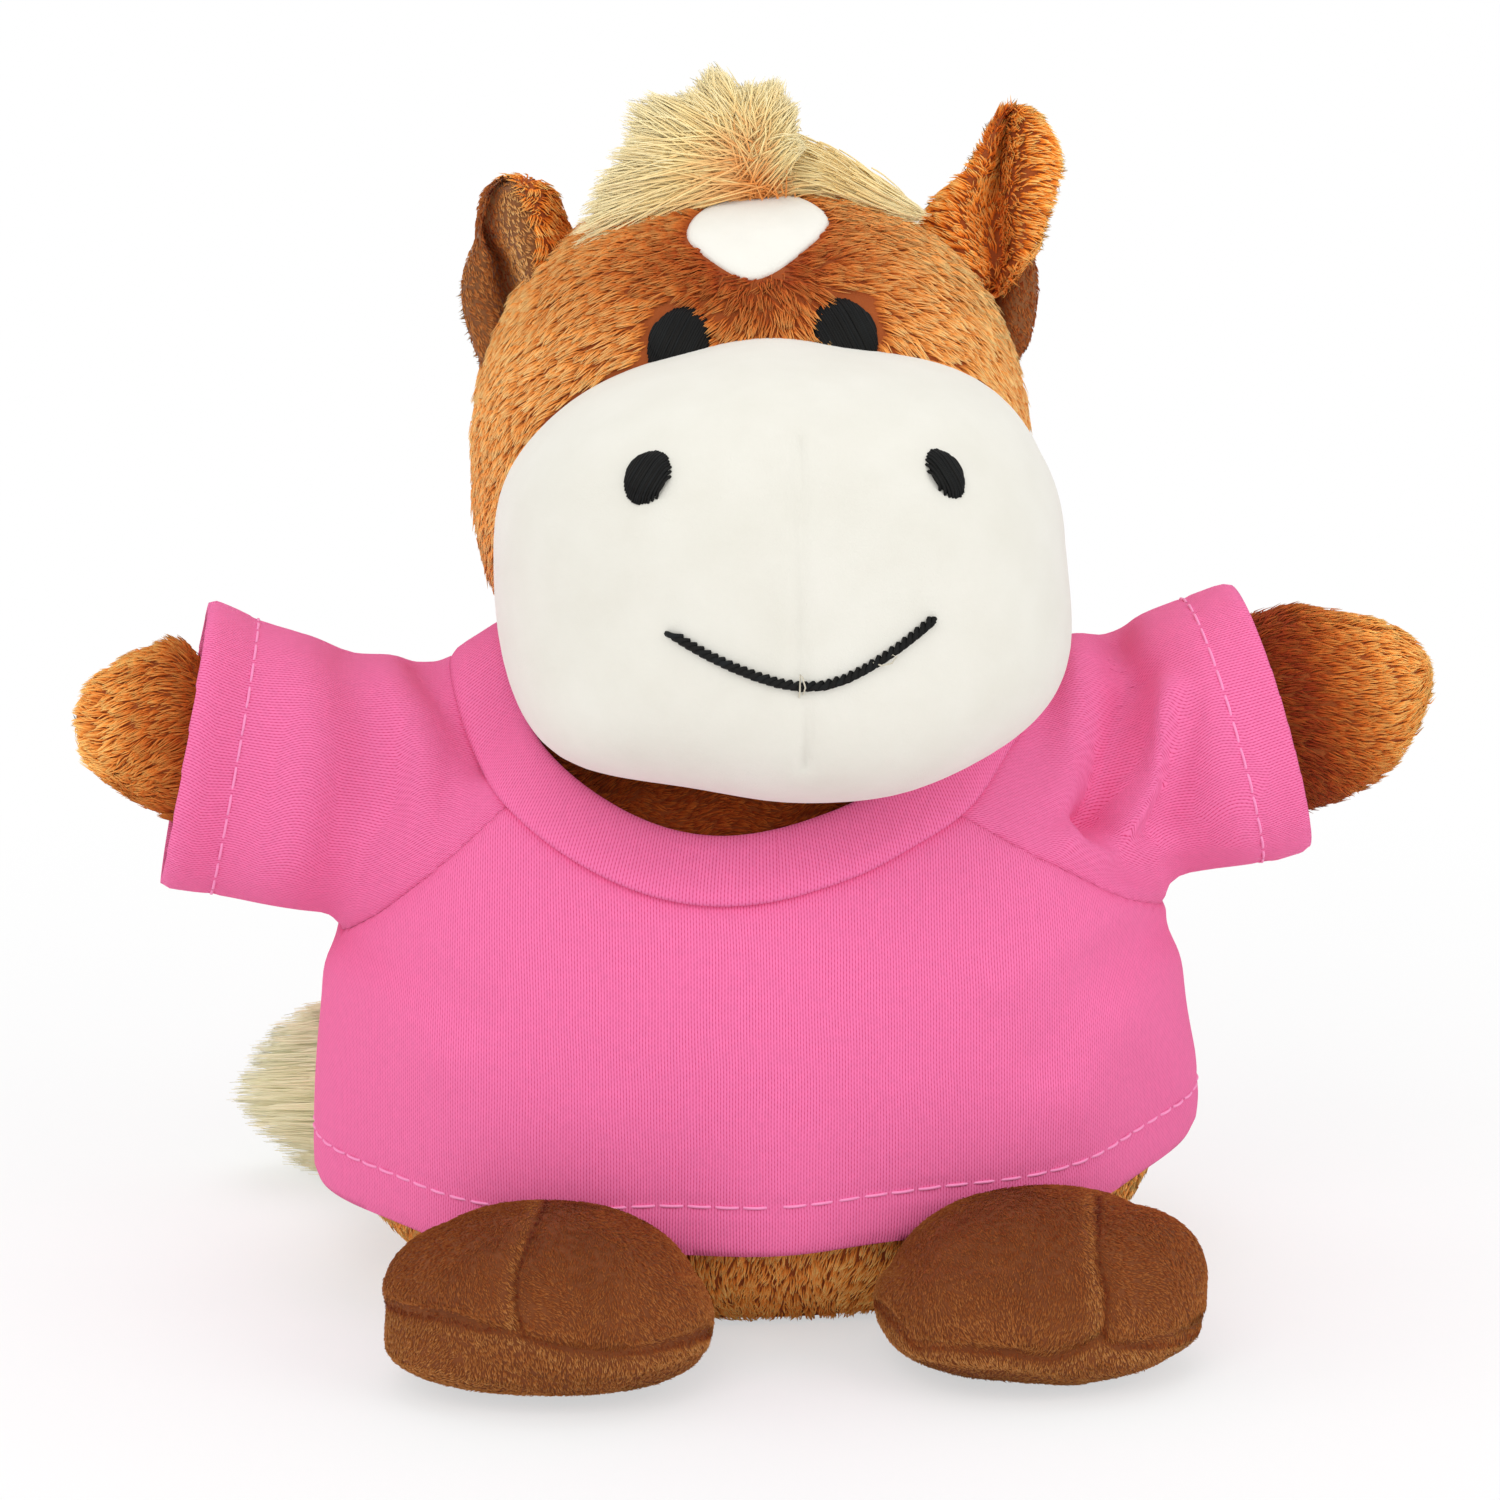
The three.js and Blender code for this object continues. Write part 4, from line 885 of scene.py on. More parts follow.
FRINGE = np.array([(668, 203), (700, 196), (757, 187), (790, 184), (820, 184), (856, 194)], float)
for _ in range(FRINGE_LEADS):
    root = crown(draw.uniform(-3.5, 3.5), draw.uniform(-5, 1.5))
    across = draw.uniform(668, 856)
    spot = (across, np.interp(across, *FRINGE.T) - draw.uniform(0, 9))
    tip = over_head(spot, 1.0)
    rise = np.array([0, -0.6, 1.0]) * draw.uniform(0.8, 2.2)
    mane_leads.append([root, root + (tip - root) * 0.3 + rise, root + (tip - root) * 0.7 + rise * 0.9, tip])
# The strip that runs to the left ear, in the picture: its upper and its lower edge.
STRIP_TOP = np.array([(750, 158), (786, 150), (827, 163), (852, 178), (888, 197), (930, 213)], float)
STRIP_LOW = np.array([(744, 186), (775, 186), (812, 188), (843, 198), (872, 211), (912, 223)], float)
strip_starts = []
for i in range(STRIP_LEADS):
    start, across = draw.uniform(0, 0.14) if i % 3 == 0 else draw.uniform(0, 0.68), draw.random()
    strip_starts.append(start)
    raised = draw.uniform(1.0, 4.0)
    lead = []
    for share in np.linspace(start, min(1, start + draw.uniform(0.26, 0.4)), 5):
        top, low = along_line(STRIP_TOP, share * 5), along_line(STRIP_LOW, share * 5)
        lead.append(over_head(top + (low - top) * (across * 0.9 + 0.05), raised))
    mane_leads.append(lead)
for _ in range(CREST_LEADS):
    angle = math.radians(draw.uniform(4, 116))
    side = draw.uniform(-3.2, 3.2)
    out = np.array([0, math.sin(angle), math.cos(angle)])
    root = SKULL["at"] + np.array([side, SKULL["back"] * out[1], SKULL["up"] * out[2]])
    root = root - out * 1.0
    if out[2] < 0:
        root[2] = SKULL["at"][2] + SKULL["down"] * out[2]
    down = np.array([0, math.cos(angle), -math.sin(angle)])
    bend = np.array([math.copysign(1, side) * (0.25 + 0.3 * draw.random()), 0, 0])
    size = draw.uniform(8.5, 12)
    tip = root + (out * 0.62 + down * 0.7 + bend) * size
    mane_leads.append([root, root + out * 0.4 * size,
                       root + (out * 0.62 + down * 0.25 + bend * 0.4) * size * 0.8, tip])
mane_paths, mane_width, mane_tones = locks(mane_leads, 0.95, 52, 0.105)
FRONT, STRIP = 1, 2
lead_counts = np.array([BULK_LEADS, FRONT_LEADS + FRINGE_LEADS, STRIP_LEADS, CREST_LEADS])
kinds = np.repeat(range(4), lead_counts * PER_LOCK)
mane_soft = np.choose(kinds, [0.42, 0.6, 0.42, 0.3])
from_share = np.choose(kinds, [0.0, 0.0, 0.4, 0.3])
from_share[kinds == STRIP] = np.repeat(np.interp(strip_starts, (0, 0.2), (0.1, 0.55)), PER_LOCK)
fan_facing = (mane_paths - np.array([0, 0, 148])) / np.array([34, 5, 34])
strip_facing = (mane_paths - SKULL["at"] - np.array([0, 30, 0])) / np.array([60, 34, 37])
round_head = (mane_paths - SKULL["at"]) / np.array([14, 34, 37])
mane_facing = unit(np.where((kinds <= FRONT)[:, None, None], fan_facing,
                            np.where((kinds == STRIP)[:, None, None], strip_facing, round_head)))
mane = tubes("mane_locks", mane_paths, mane_width, mane_tones, cream_pile, "head", "cream_pile",
             facing=mane_facing, soft=mane_soft, from_share=from_share)
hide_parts("mane")

# ---------------------------------------------------------------------------------------------------
# Ears: each a leaf of brown pile lined with short taupe pile, cupped, and sewn into the head's top
# seam. The right one is folded so that its lining shows.

def turned(axis, degrees):
    return np.array(Matrix.Rotation(math.radians(degrees), 3, axis))


EARS = {"left": np.array([25.991, 0, 133.452]), "right": np.array([-27.547, 0, 125.014])}
taupe_ground = ground_material("taupe_ground", (112, 66, 30), (146, 92, 48))
taupe_nap = pile_material("taupe_nap", (112, 58, 20), (196, 124, 60), (236, 176, 108), 0.2, 0.1)
ear_pile = pile_material("ear_pile", (206, 88, 16), (255, 142, 42), (255, 204, 116), 0.18, 0.03)


def closed_form(rows, pivot, turns=6, steps=44):
    """A closed form from rows of places in the picture, each a ring of (across, down, further away in
    millimetres than the pivot), smoothed between rows and round each ring, and closed at both ends."""
    rows = np.array(rows, float)
    count = rows.shape[1]
    spaced = np.linspace(0, len(rows) - 1, steps)
    low = np.clip(spaced.astype(int), 0, len(rows) - 2)
    part = (spaced - low)[:, None, None]
    before, after = rows[np.maximum(low - 1, 0)], rows[np.minimum(low + 2, len(rows) - 1)]
    a, b = rows[low], rows[low + 1]
    knots = a + 0.5 * part * (b - before + part * (2 * before - 5 * a + 4 * b - after
                                                   + part * (3 * (a - b) + after - before)))
    ring = []
    for k in range(count):
        p0, p1, p2, p3 = (knots[:, (k + i) % count] for i in (-1, 0, 1, 2))
        for t in np.arange(turns) / turns:
            bend = 2 * p0 - 5 * p1 + 4 * p2 - p3 + t * (3 * (p1 - p2) + p3 - p0)
            ring.append(p1 + 0.5 * t * (p2 - p0 + t * bend))
    seen = np.stack(ring, 1)
    middle = seen.mean(1, keepdims=True)
    seen = np.concatenate([middle[:1] + (seen[:1] - middle[:1]) * 0.02, middle[:1] + (seen[:1] - middle[:1]) * 0.6,
                           seen, middle[-1:] + (seen[-1:] - middle[-1:]) * 0.02])
    away = (pivot - camera_eye) @ -camera_back + seen[..., 2].reshape(-1)
    points = camera_eye + sight_lines(seen[..., :2].reshape(-1, 2)) * away[:, None]
    faces = ring_faces(len(seen), count * turns)
    return points, faces, faces[:, 0] % (count * turns)


# Rows down each ear: a height in the picture, places across it, and how far behind the ear's pivot
# each of those and the ear's back are, in millimetres.
RIGHT_EAR = [
    (179, 499, 505, 511, 519, 530, 1.0, 0.3, 0.3, 0.0, 1.4, 2.6),
    (190, 486, 494, 508, 524, 548, 0.6, -0.8, -1.8, -2.2, 1.6, 4.6),
    (205, 480, 490, 509, 530, 557, 0.5, -0.8, -2.8, -3.2, 2.0, 5.6),
    (225, 477, 486, 512, 534, 564, 0.5, 0.0, -3.2, -3.8, 2.5, 6.2),
    (240, 476, 488, 516, 537, 576, 0.3, 1.5, -3.4, -4.0, 3.0, 6.5),
    (260, 469, 501, 521, 540, 588, 0.0, 2.6, -3.4, -4.0, 3.5, 6.8),
    (285, 464, 507, 528, 544, 588, 0.0, 3.0, -3.0, -4.0, 3.5, 7.0),
    (310, 466, 517, 533, 548, 582, 0.0, 3.0, -2.4, -3.4, 3.5, 7.0),
    (340, 474, 528, 538, 551, 574, 0.0, 2.4, -1.6, -2.4, 3.5, 6.5),
    (375, 486, 533, 541, 553, 566, 0.0, 1.5, -0.5, -1.0, 3.0, 5.5)]
LEFT_EAR = [
    (111, 1005, 1009, 1022, 1.5, 1.0, 1.5, 3.0), (118, 998, 1006, 1036, 1.8, 1.4, 1.5, 4.2),
    (135, 989, 1003, 1047, 2.2, 3.2, 1.5, 5.6), (156, 979, 999, 1055, 2.2, 4.2, 1.5, 6.6),
    (178, 964, 997, 1053, 2.2, 4.6, 1.5, 7.4), (200, 941, 995, 1047, 2.2, 4.6, 1.5, 7.6),
    (222, 930, 996, 1040, 2.4, 4.4, 1.8, 7.4), (248, 938, 998, 1032, 2.8, 3.8, 2.2, 7.0),
    (270, 955, 997, 1018, 3.4, 2.4, 2.6, 6.0), (292, 976, 992, 1003, 3.6, 2.8, 3.2, 5.0)]
right_rings = [[(left, y, dl), ((left + crease) / 2, y, min(dl, dc) - 1.4), (crease, y, dc), (lobe, y, dlo),
                (rim, y, dr), ((rim + flank) / 2, y, (dr + df) / 2 - 1.2), (flank, y, df), (flank - 5, y, df + 1.5),
                ((left + flank) / 2, y, db), (left + 6, y, dl + 2.2)]
               for y, left, crease, lobe, rim, flank, dl, dc, dlo, dr, df, db in RIGHT_EAR]
left_rings = [[(left, y, dl), ((left + valley) / 2, y, min(dl, dv) - 1.6), (valley, y, dv),
               ((valley * 2 + right) / 3, y, min(dv, dr) - 1.6), ((valley + right * 2) / 3, y, min(dv, dr) - 2.2),
               (right, y, dr), (right - 6, y, dr + 2.4), ((left + right) / 2, y, db), (left + 5, y, dl + 2.2)]
              for y, left, valley, right, dl, dv, dr, db in LEFT_EAR]
LEFT_LOBE = ((240, 1004, 1028), (262, 1000, 1034), (290, 996, 1036), (324, 992, 1032), (345, 988, 1026),
             (360, 990, 1016))
lobe_rings = [[(left, y, 5.0), ((left + right) / 2, y, 3.6), (right, y, 5.2), (right - 4, y, 7.4),
               ((left + right) / 2, y, 8.4), (left, y, 7.4)] for y, left, right in LEFT_LOBE]


RIGHT_CREASE, RIGHT_LOBE, RIGHT_RIM = 2, 3, 4
LEFT_VALLEY = np.array([999, 200])


def down_right_ear(seen, column):
    """Where a column of the right ear's rows lies, level with places in the picture."""
    rows = np.array(RIGHT_EAR, float)
    return np.interp(seen[:, 1], rows[:, 0], rows[:, column])


def comb_right_ear(places):
    """Over the rim towards the lining, and to the right behind it."""
    seen = in_picture(places)
    past = (seen[:, 0] - down_right_ear(seen, RIGHT_RIM))[:, None]
    return camera_right * np.tanh((past - 9) / 8) * 0.8 - camera_up * 0.45 + camera_back * 0.2


def comb_left_ear(places):
    """Out of the valley to both sides."""
    off = in_picture(places) - LEFT_VALLEY
    return camera_right * np.tanh(off[:, :1] / 12) + camera_up * (0.55 - 0.5 * (off[:, :1] > 0))


def ear_painted_shade_and_light(places):
    """Painted shade down the left ear's valley and on the right one's inner side, and painted light at
    the left ear's outer rim.
    """
    seen = in_picture(places)
    off, flank = seen[:, 0] - LEFT_VALLEY[0], seen[:, 0] - 575
    left = 0.3 - 1.7 * np.exp(-((off - 2) / 12) ** 2) + 0.7 * np.clip(off / 45, 0, 1)
    return np.where(places[:, 0] > 0, left, -1.2 * np.exp(-(flank / 20) ** 2))


def lining_painted_shade_and_light(places):
    """Painted highlight on the right ear's rolled lobe and painted shade in its crease, over painted
    shade on all its lining; deeper painted shade on the left ear's lining, in the shade behind it.
    """
    seen = in_picture(places)
    in_crease = np.exp(-((seen[:, 0] - down_right_ear(seen, RIGHT_CREASE)) / 9) ** 2)
    on_lobe = np.exp(-((seen[:, 0] - down_right_ear(seen, RIGHT_LOBE)) / 14) ** 2)
    return np.where(places[:, 0] > 0, -2.0, -1.0 - 2.2 * in_crease + 1.9 * on_lobe)


def comb_lining(places):
    """Down and a little to the pony's left."""
    return camera_right * 0.5 - camera_up * 0.6 + 0 * places


def clear_of_head(places):
    """Whether places on an ear are outside the head, so that pile there can be seen."""
    return depth_in(SKULL, places) > 0.96


right_points, right_faces, right_turn = closed_form(right_rings, EARS["right"])
left_points, left_faces, _ = closed_form(left_rings, EARS["left"])
lobe_points, lobe_faces, _ = closed_form(lobe_rings, EARS["left"])
lined = (right_turn < 24) | (right_turn >= 54)
for side, shell, lining, comb_ear in (
        ("right", (right_points, right_faces[~lined]), (right_points, right_faces[lined]), comb_right_ear),
        ("left", (left_points, left_faces), (lobe_points, lobe_faces), comb_left_ear)):
    ear = f"ear_{side}"
    sewn(ear + "_leaf", *shell, brown_ground, ear, "brown_pile", ear + "_shell")
    sewn(ear + "_inside", *lining, taupe_ground, ear, "dark_suede", ear + "_lining")
    pile(ear + "_pile", *shell, ear_pile, ear, "brown_pile", comb_ear, clear_of_head, seed=61 + len(side),
         per_square=7, length=2.2, width=0.26, lie=20, gather=0.6, shade=ear_painted_shade_and_light)
    pile(ear + "_nap", *lining, taupe_nap, ear, "dark_suede", comb_lining, clear_of_head, seed=71 + len(side),
         per_square=11, length=1.0, width=0.18, lie=14, shade=lining_painted_shade_and_light)

# ---------------------------------------------------------------------------------------------------
# Arms: a mitten of brown pile each, filled, closed and sewn to the shoulder inside the sleeve. The
# pile is combed towards the tip.

ARMS = {
    "left": (np.array([41.975, -5, 66.465]), turned("Y", -16), form((21.75, 0, 0), 29.75, 11, 11, 14, 14, 2.15)),
    "right": (np.array([-41.975, -5, 66.465]), turned("Y", 11) @ turned("Z", 180),
              form((20.25, 0, 0), 28.25, 11, 11, 12, 12, 2.15)),
}
ARM_OUTLINES = {
    "right": ((192, 722), [(197, 634), (160, 642), (110, 661), (86, 680), (74, 706), (75, 738), (90, 758),
                           (112, 775), (140, 792), (163, 808)]),
    "left": ((1270, 706), [(1274, 601), (1306, 603), (1338, 607), (1376, 617), (1402, 634), (1424, 652),
                           (1435, 673), (1430, 703), (1418, 738), (1399, 767), (1370, 788), (1335, 803),
                           (1308, 815)]),
}
# How deep each arm's painted shade towards its cuff is.
ARM_PAINTED_SHADE = {"left": 4.6, "right": 3.4}


def in_limb(points, limb):
    """Points in a limb's own frame, from its pivot."""
    return (points - limb[0]) @ limb[1]


def from_limb(points, limb):
    """Points in a limb's own frame, carried to where they lie on the toy."""
    return np.asarray(points) @ limb[1].T + limb[0]


for side, limb in ARMS.items():
    arm, shape = f"arm_{side}", limb[2]
    middle, outline = ARM_OUTLINES[side]
    points = to_outline(from_limb(swell(ball, shape, -0.9), limb), outline, middle, inside=1.1)
    points = from_limb(outside_fill(in_limb(points, limb), shape), limb)
    sewn(arm + "_skin_panel", points, ball_faces, brown_ground, arm, "brown_pile", arm + "_skin")

    def comb_arm(places):
        own = in_limb(places, limb)
        flow = np.stack([1 + 0 * own[:, 0], 0.25 * np.sin(own[:, 0] * 0.5), -0.25 + 0 * own[:, 0]], -1)
        return flow @ limb[1].T

    def arm_painted_shade(places):
        """Painted shade towards the cuff, where the sleeve shades the pile."""
        return 0.2 - ARM_PAINTED_SHADE[side] * np.clip(1.35 - (in_limb(places, limb)[:, 0] - 27) / 12, 0, 1)

    pile(arm + "_pile", points, ball_faces, brown_pile, arm, "brown_pile", comb_arm,
         lambda p: in_limb(p, limb)[:, 0] > 16, seed=81 + len(side), length=2.8, lie=18, width=0.27,
         per_square=6.5, gather=0.6, tuft=11, shade=arm_painted_shade)

# ---------------------------------------------------------------------------------------------------
# Feet: an upper of short dark brown nap with a seam over the toe, and a sole sewn round its edge,
# filled and sewn to the front of the body.

FOOT = form((0, -15, -7), 21.5, 16.5, 19.5, 18, 6.5, 2.3, below=2.1)
FEET = {"left": (np.array([30, -39.499, 13]), turned("Z", 10)),
        "right": (np.array([-28, -40.409, 13]), turned("Z", -10))}
suede_ground = ground_material("suede_ground", (104, 50, 14), (132, 70, 26), patch=5, grain=0.3, sheen=0.0)
suede_nap = pile_material("suede_nap", (116, 54, 14), (152, 80, 28), (196, 126, 66), 0.2, 0.05)
# In the picture: each foot's middle, its outline, the seam over its toe and the seam round its sole.
FOOT_SEEN = {
    "right": ((550, 1297), [
        (379, 1276), (380, 1305), (387, 1326), (404, 1345), (436, 1362), (470, 1374), (511, 1384), (551, 1390),
        (594, 1392), (637, 1388), (671, 1380), (712, 1344), (720, 1319), (713, 1293), (694, 1268), (666, 1245),
        (637, 1232), (608, 1219), (580, 1207), (551, 1202), (522, 1204), (479, 1212), (445, 1220), (416, 1233),
        (393, 1250)],
        [(548, 1204), (534, 1227), (525, 1248), (516, 1271), (515, 1288), (516, 1311), (522, 1334)],
        [(380, 1300), (407, 1311), (442, 1316), (473, 1325), (499, 1329), (522, 1334), (551, 1344), (580, 1349),
         (608, 1352), (651, 1349), (680, 1342), (719, 1330)]),
    "left": ((1040, 1292), [
        (869, 1275), (869, 1305), (877, 1321), (895, 1344), (915, 1361), (938, 1374), (961, 1379), (1001, 1381),
        (1044, 1383), (1101, 1383), (1130, 1378), (1159, 1368), (1179, 1353), (1195, 1335), (1205, 1318),
        (1208, 1298), (1210, 1269), (1209, 1252), (1197, 1232), (1179, 1216), (1156, 1206), (1130, 1202),
        (1104, 1200), (1073, 1203), (1044, 1209), (1001, 1219), (972, 1229), (943, 1239), (915, 1251), (895, 1261)],
        [(1094, 1200), (1096, 1235), (1097, 1261), (1104, 1287), (1106, 1307), (1104, 1335)],
        [(870, 1296), (883, 1307), (915, 1344), (943, 1345), (978, 1349), (1015, 1353), (1050, 1358), (1075, 1350),
         (1098, 1338), (1116, 1344), (1144, 1345), (1173, 1341), (1206, 1326)]),
}
for side, limb in FEET.items():
    foot = f"foot_{side}"
    own = swell(fine_ball, FOOT, -0.5)
    middle, outline, toe_seam, sole_seam = FOOT_SEEN[side]
    points = to_outline(from_limb(own, limb), outline, middle, inside=0.4)
    facing_out = normals_of(points, fine_faces)
    seen = in_picture(points)
    ahead = np.clip((facing_out @ camera_back) * 4, 0, 1)
    for line in (toe_seam, sole_seam):
        apart = near_line(seen, line) / SCALE_IN_PICTURE
        seam = 0.3 * np.exp(-((apart - 2.4) / 1.6) ** 2) - 0.75 * np.exp(-(apart / 0.75) ** 2)
        points += facing_out * (ahead * seam)[:, None]
    points = from_limb(outside_fill(in_limb(points, limb), FOOT), limb)
    points[:, 2] = np.maximum(points[:, 2], 0.5)
    seen = in_picture(points)
    seam_line = np.interp(seen[:, 0], *np.array(sole_seam, float).T)
    below = (seen[:, 1] > seam_line)[fine_faces].all(1) & (own[fine_faces].mean(1)[:, 2] < 2)
    for part, faces in (("upper", fine_faces[~below]), ("sole", fine_faces[below])):
        panel = sewn(f"{foot}_{part}_panel", points, faces, suede_ground, foot, "dark_suede", f"{foot}_{part}")

    def comb_foot(places):
        own = in_limb(places, limb)
        return np.stack([own[:, 0] * 0.05, -0.6 + 0 * own[:, 0], -0.6 + 0 * own[:, 0]], -1) @ limb[1].T

    def foot_painted_shade_and_light(places):
        """Painted light and shade: deeper in colour on top and paler low down, as the nap takes the light,
        a painted highlight on the raised seams, and painted shade in the stitched line.
        """
        seen = in_picture(places)
        to_toe, to_sole = (near_line(seen, np.array(line) + shift) for line, shift in
                           ((toe_seam, (-9, 0)), (sole_seam, (0, 9))))
        in_seam = np.minimum(near_line(seen, toe_seam), near_line(seen, sole_seam))
        return (0.9 - 2.3 * np.clip((places[:, 2] - 6) / 15, 0, 1) + 1.5 * np.exp(-(to_toe / 8) ** 2)
                + 0.7 * np.exp(-(to_sole / 9) ** 2) - 2.4 * np.exp(-(in_seam / 3) ** 2))

    pile(foot + "_nap", points, fine_faces, suede_nap, foot, "dark_suede", comb_foot, lambda p: p[:, 2] > 1.2,
         seed=91 + len(side), per_square=17, length=0.8, width=0.13, lie=18, most=33000, ruffle=0.6, gather=0.3,
         shade=foot_painted_shade_and_light)

# ---------------------------------------------------------------------------------------------------
# Tail: a switch of long cream pile sewn into the back seam, which lies on the floor to the pony's
# right with its ends loose.

# Paler than the mane's cream pile: painted light, against the shade that the sleeve and the body cast on the tail.
tail_painted_light_pile = pile_material("tail_painted_light_pile", (250, 198, 128), (255, 240, 180), (255, 248, 208), 0.04, 0.0)
TAIL_ROOT = np.array([-5, 42.479, 12])
TAIL_MIDDLE = np.array([-46, 39, 13.5])
TAIL_EDGE = np.array([
    (372, 1008), (325, 1004), (312, 1005), (297, 1015), (279, 1025), (273, 1037), (252, 1052), (255, 1067),
    (243, 1083), (242, 1100), (251, 1116), (264, 1131), (283, 1144), (293, 1162), (315, 1168), (335, 1177),
    (353, 1186), (380, 1188)], float)
tail_away = (TAIL_MIDDLE - camera_eye) @ -camera_back
tail_seen = np.array([378.0, 1098.0])
draw = np.random.default_rng(101)
tail_leads = []
TAIL_LEADS = 900
for i in range(TAIL_LEADS):
    edge = along_line(TAIL_EDGE, draw.uniform(0, len(TAIL_EDGE) - 1))
    reach_out = 0.96 if i % 3 == 0 else draw.uniform(0.35, 0.93)
    near = draw.uniform(-1, 1)
    depth = 11 * near * math.sqrt(1 - 0.75 * reach_out ** 2)
    tip_seen = tail_seen + (edge - tail_seen) * reach_out
    tip = camera_eye + sight_lines(tip_seen)[0] * (tail_away + depth)
    begin = draw.uniform(0, 0.6)
    root = TAIL_ROOT + (TAIL_MIDDLE - TAIL_ROOT) * begin
    off = tip - TAIL_MIDDLE
    root = root + np.array([0, off[1], off[2]]) * (0.25 + 0.5 * begin) + draw.normal(size=3) * 0.6
    bow = np.array([0.0, off[1], off[2]]) * 0.35
    tail_leads.append([root + (tip - root) * share + bow * math.sin(share * math.pi)
                       for share in np.linspace(0, 1, 6)])
tail_paths, tail_width, tail_tones = locks(tail_leads, 1.0, 102, 0.11)
tail_paths[..., 2] = np.maximum(tail_paths[..., 2], 0.4)
tail_facing = unit((tail_paths - TAIL_MIDDLE) / np.array([26, 11, 12]))
tail = tubes("tail_locks", tail_paths, tail_width, tail_tones, tail_painted_light_pile, "tail", "cream_pile",
             facing=tail_facing, soft=0.55, from_share=0.3)
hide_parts("tail")

# ---------------------------------------------------------------------------------------------------
# T-shirt: pink cotton jersey, a front and a back, two raglan sleeves and a ribbed neckband folded in
# two. Hem and cuffs are turned up once and sewn with a light thread.

SHIRT = form((0, 0, 20), 57.2, 47.2, 47.2, 72, 80, 2.4)
HEM = 17.5, 0.07, 0.04      # its height in the middle, and its rise to the back and to the left
SLEEVES = {"left": 28.5, "right": 33.9}
SLEEVE_ROOT, SLEEVE_HEIGHT, SLEEVE_DEPTH, SLEEVE_SQUARE, SLEEVE_ROUND = -21, 19.2, 16.5, 2.2, 18.0
JERSEY, TURN_UP, TURNED_UP = 0.9, 0.7, 6.5


def torso_gap(points):
    """About how far points are outside the shirt's body, folds included."""
    flat_out = np.hypot(points[:, 0], points[:, 1])
    slack = np.clip(1 - (points[:, 2] - 20) / 72, 0, 1)
    wave = 1 + np.cos(9 * np.arctan2(points[:, 0], -points[:, 1]))
    out = 1.2 * slack * wave
    shrink = 1 - out / np.maximum(flat_out, 1)
    inner = points * np.stack([shrink, shrink, np.ones_like(shrink)], -1)
    return (depth_in(SHIRT, inner) - 1) * 50


SLEEVE_SAG = {"left": ((-10, 1.7, 4, 10.3, 14.8, 20, 26), (3.4, 2.9, 1.7, 1.9, 1.7, 1.3, 0.8)),
              "right": ((-10, 0, 14.6, 21.4, 30, 33), (3.2, 2.8, 3.5, 2.8, 0.6, 0))}


def sleeve_gap(points, side):
    """About how far points are outside a sleeve."""
    own = in_limb(points, ARMS[side])
    fold = np.where(own[:, 0] < 0, 0, 0.7 * np.sin(2 * math.pi * own[:, 0] / 15))
    sag = np.interp(own[:, 0], *SLEEVE_SAG[side])
    lift = np.interp(own[:, 0], (4, 16, 24), (3.0, 1.4, 0)) * (side == "left")
    high = np.where(own[:, 2] > 0, SLEEVE_HEIGHT - sag, SLEEVE_HEIGHT - lift)
    y, z = np.abs(own[:, 1]) / (SLEEVE_DEPTH + fold), np.abs(own[:, 2]) / high
    girth = (y ** SLEEVE_SQUARE + z ** SLEEVE_SQUARE) ** (1 / SLEEVE_SQUARE)
    return np.maximum((girth - 1) * 17.5, (SLEEVE_ROOT - own[:, 0]))


def soft_least(a, b, reach):
    """The lesser of two values, rounded over where they cross."""
    h = np.clip(0.5 + 0.5 * (b - a) / reach, 0, 1)
    return b + (a - b) * h - reach * h * (1 - h)


# Folds: a line in the picture, how far the cloth stands out there (or goes in), and how wide it is.
FOLDS = [
    ([(1112, 634), (1128, 676), (1120, 742), (1106, 790), (1094, 822)], -3.6, 2.6),
    ([(1088, 826), (1106, 836)], -1.5, 2.2),
    ([(1168, 690), (1160, 747), (1150, 780), (1130, 812), (1100, 848), (1070, 836)], 2.4, 2.2),
    ([(1074, 660), (1070, 730), (1062, 790)], 1.6, 3.0),
    ([(1186, 716), (1174, 790), (1154, 826)], -0.8, 2.4),
    ([(1136, 850), (1190, 846), (1240, 830)], 0.5, 1.6),
    ([(1150, 668), (1170, 676)], -1.0, 4.0),
    ([(1190, 812), (1240, 790), (1262, 770)], 0.5, 2.4),
    ([(424, 660), (450, 700), (478, 760)], -2.2, 2.4),
    ([(452, 664), (474, 700)], 1.0, 2.0),
    ([(392, 690), (424, 756), (430, 826)], 1.1, 3.4),
    ([(352, 664), (372, 720), (384, 800)], -0.9, 3.4),
    ([(300, 650), (318, 740), (306, 850)], 0.7, 4.0),
    ([(250, 640), (246, 740), (230, 860)], -0.5, 4.0),
    ([(344, 934), (402, 966), (470, 1015)], -0.8, 3.6),
    ([(340, 960), (392, 1000), (440, 1060)], 0.6, 4.0),
    ([(1146, 895), (1080, 930), (1000, 985)], 0.9, 3.4),
    ([(1158, 925), (1096, 985), (1046, 1060)], -1.0, 3.6),
    ([(1160, 960), (1110, 1030), (1080, 1100)], 0.6, 4.0),
    ([(1110, 1010), (1178, 1062), (1190, 1090)], 0.9, 5.0),
    ([(600, 1120), (606, 1190), (610, 1245)], 0.5, 4.5),
    ([(900, 1100), (905, 1180), (900, 1235)], 0.5, 4.5),
]


def shirt_gap(points):
    """About how far points are outside the whole shirt."""
    whole = torso_gap(points)
    for side in SLEEVES:
        whole = soft_least(whole, sleeve_gap(points, side), np.interp(points[:, 2], (50, 62), (2.8, 6)))
    return whole


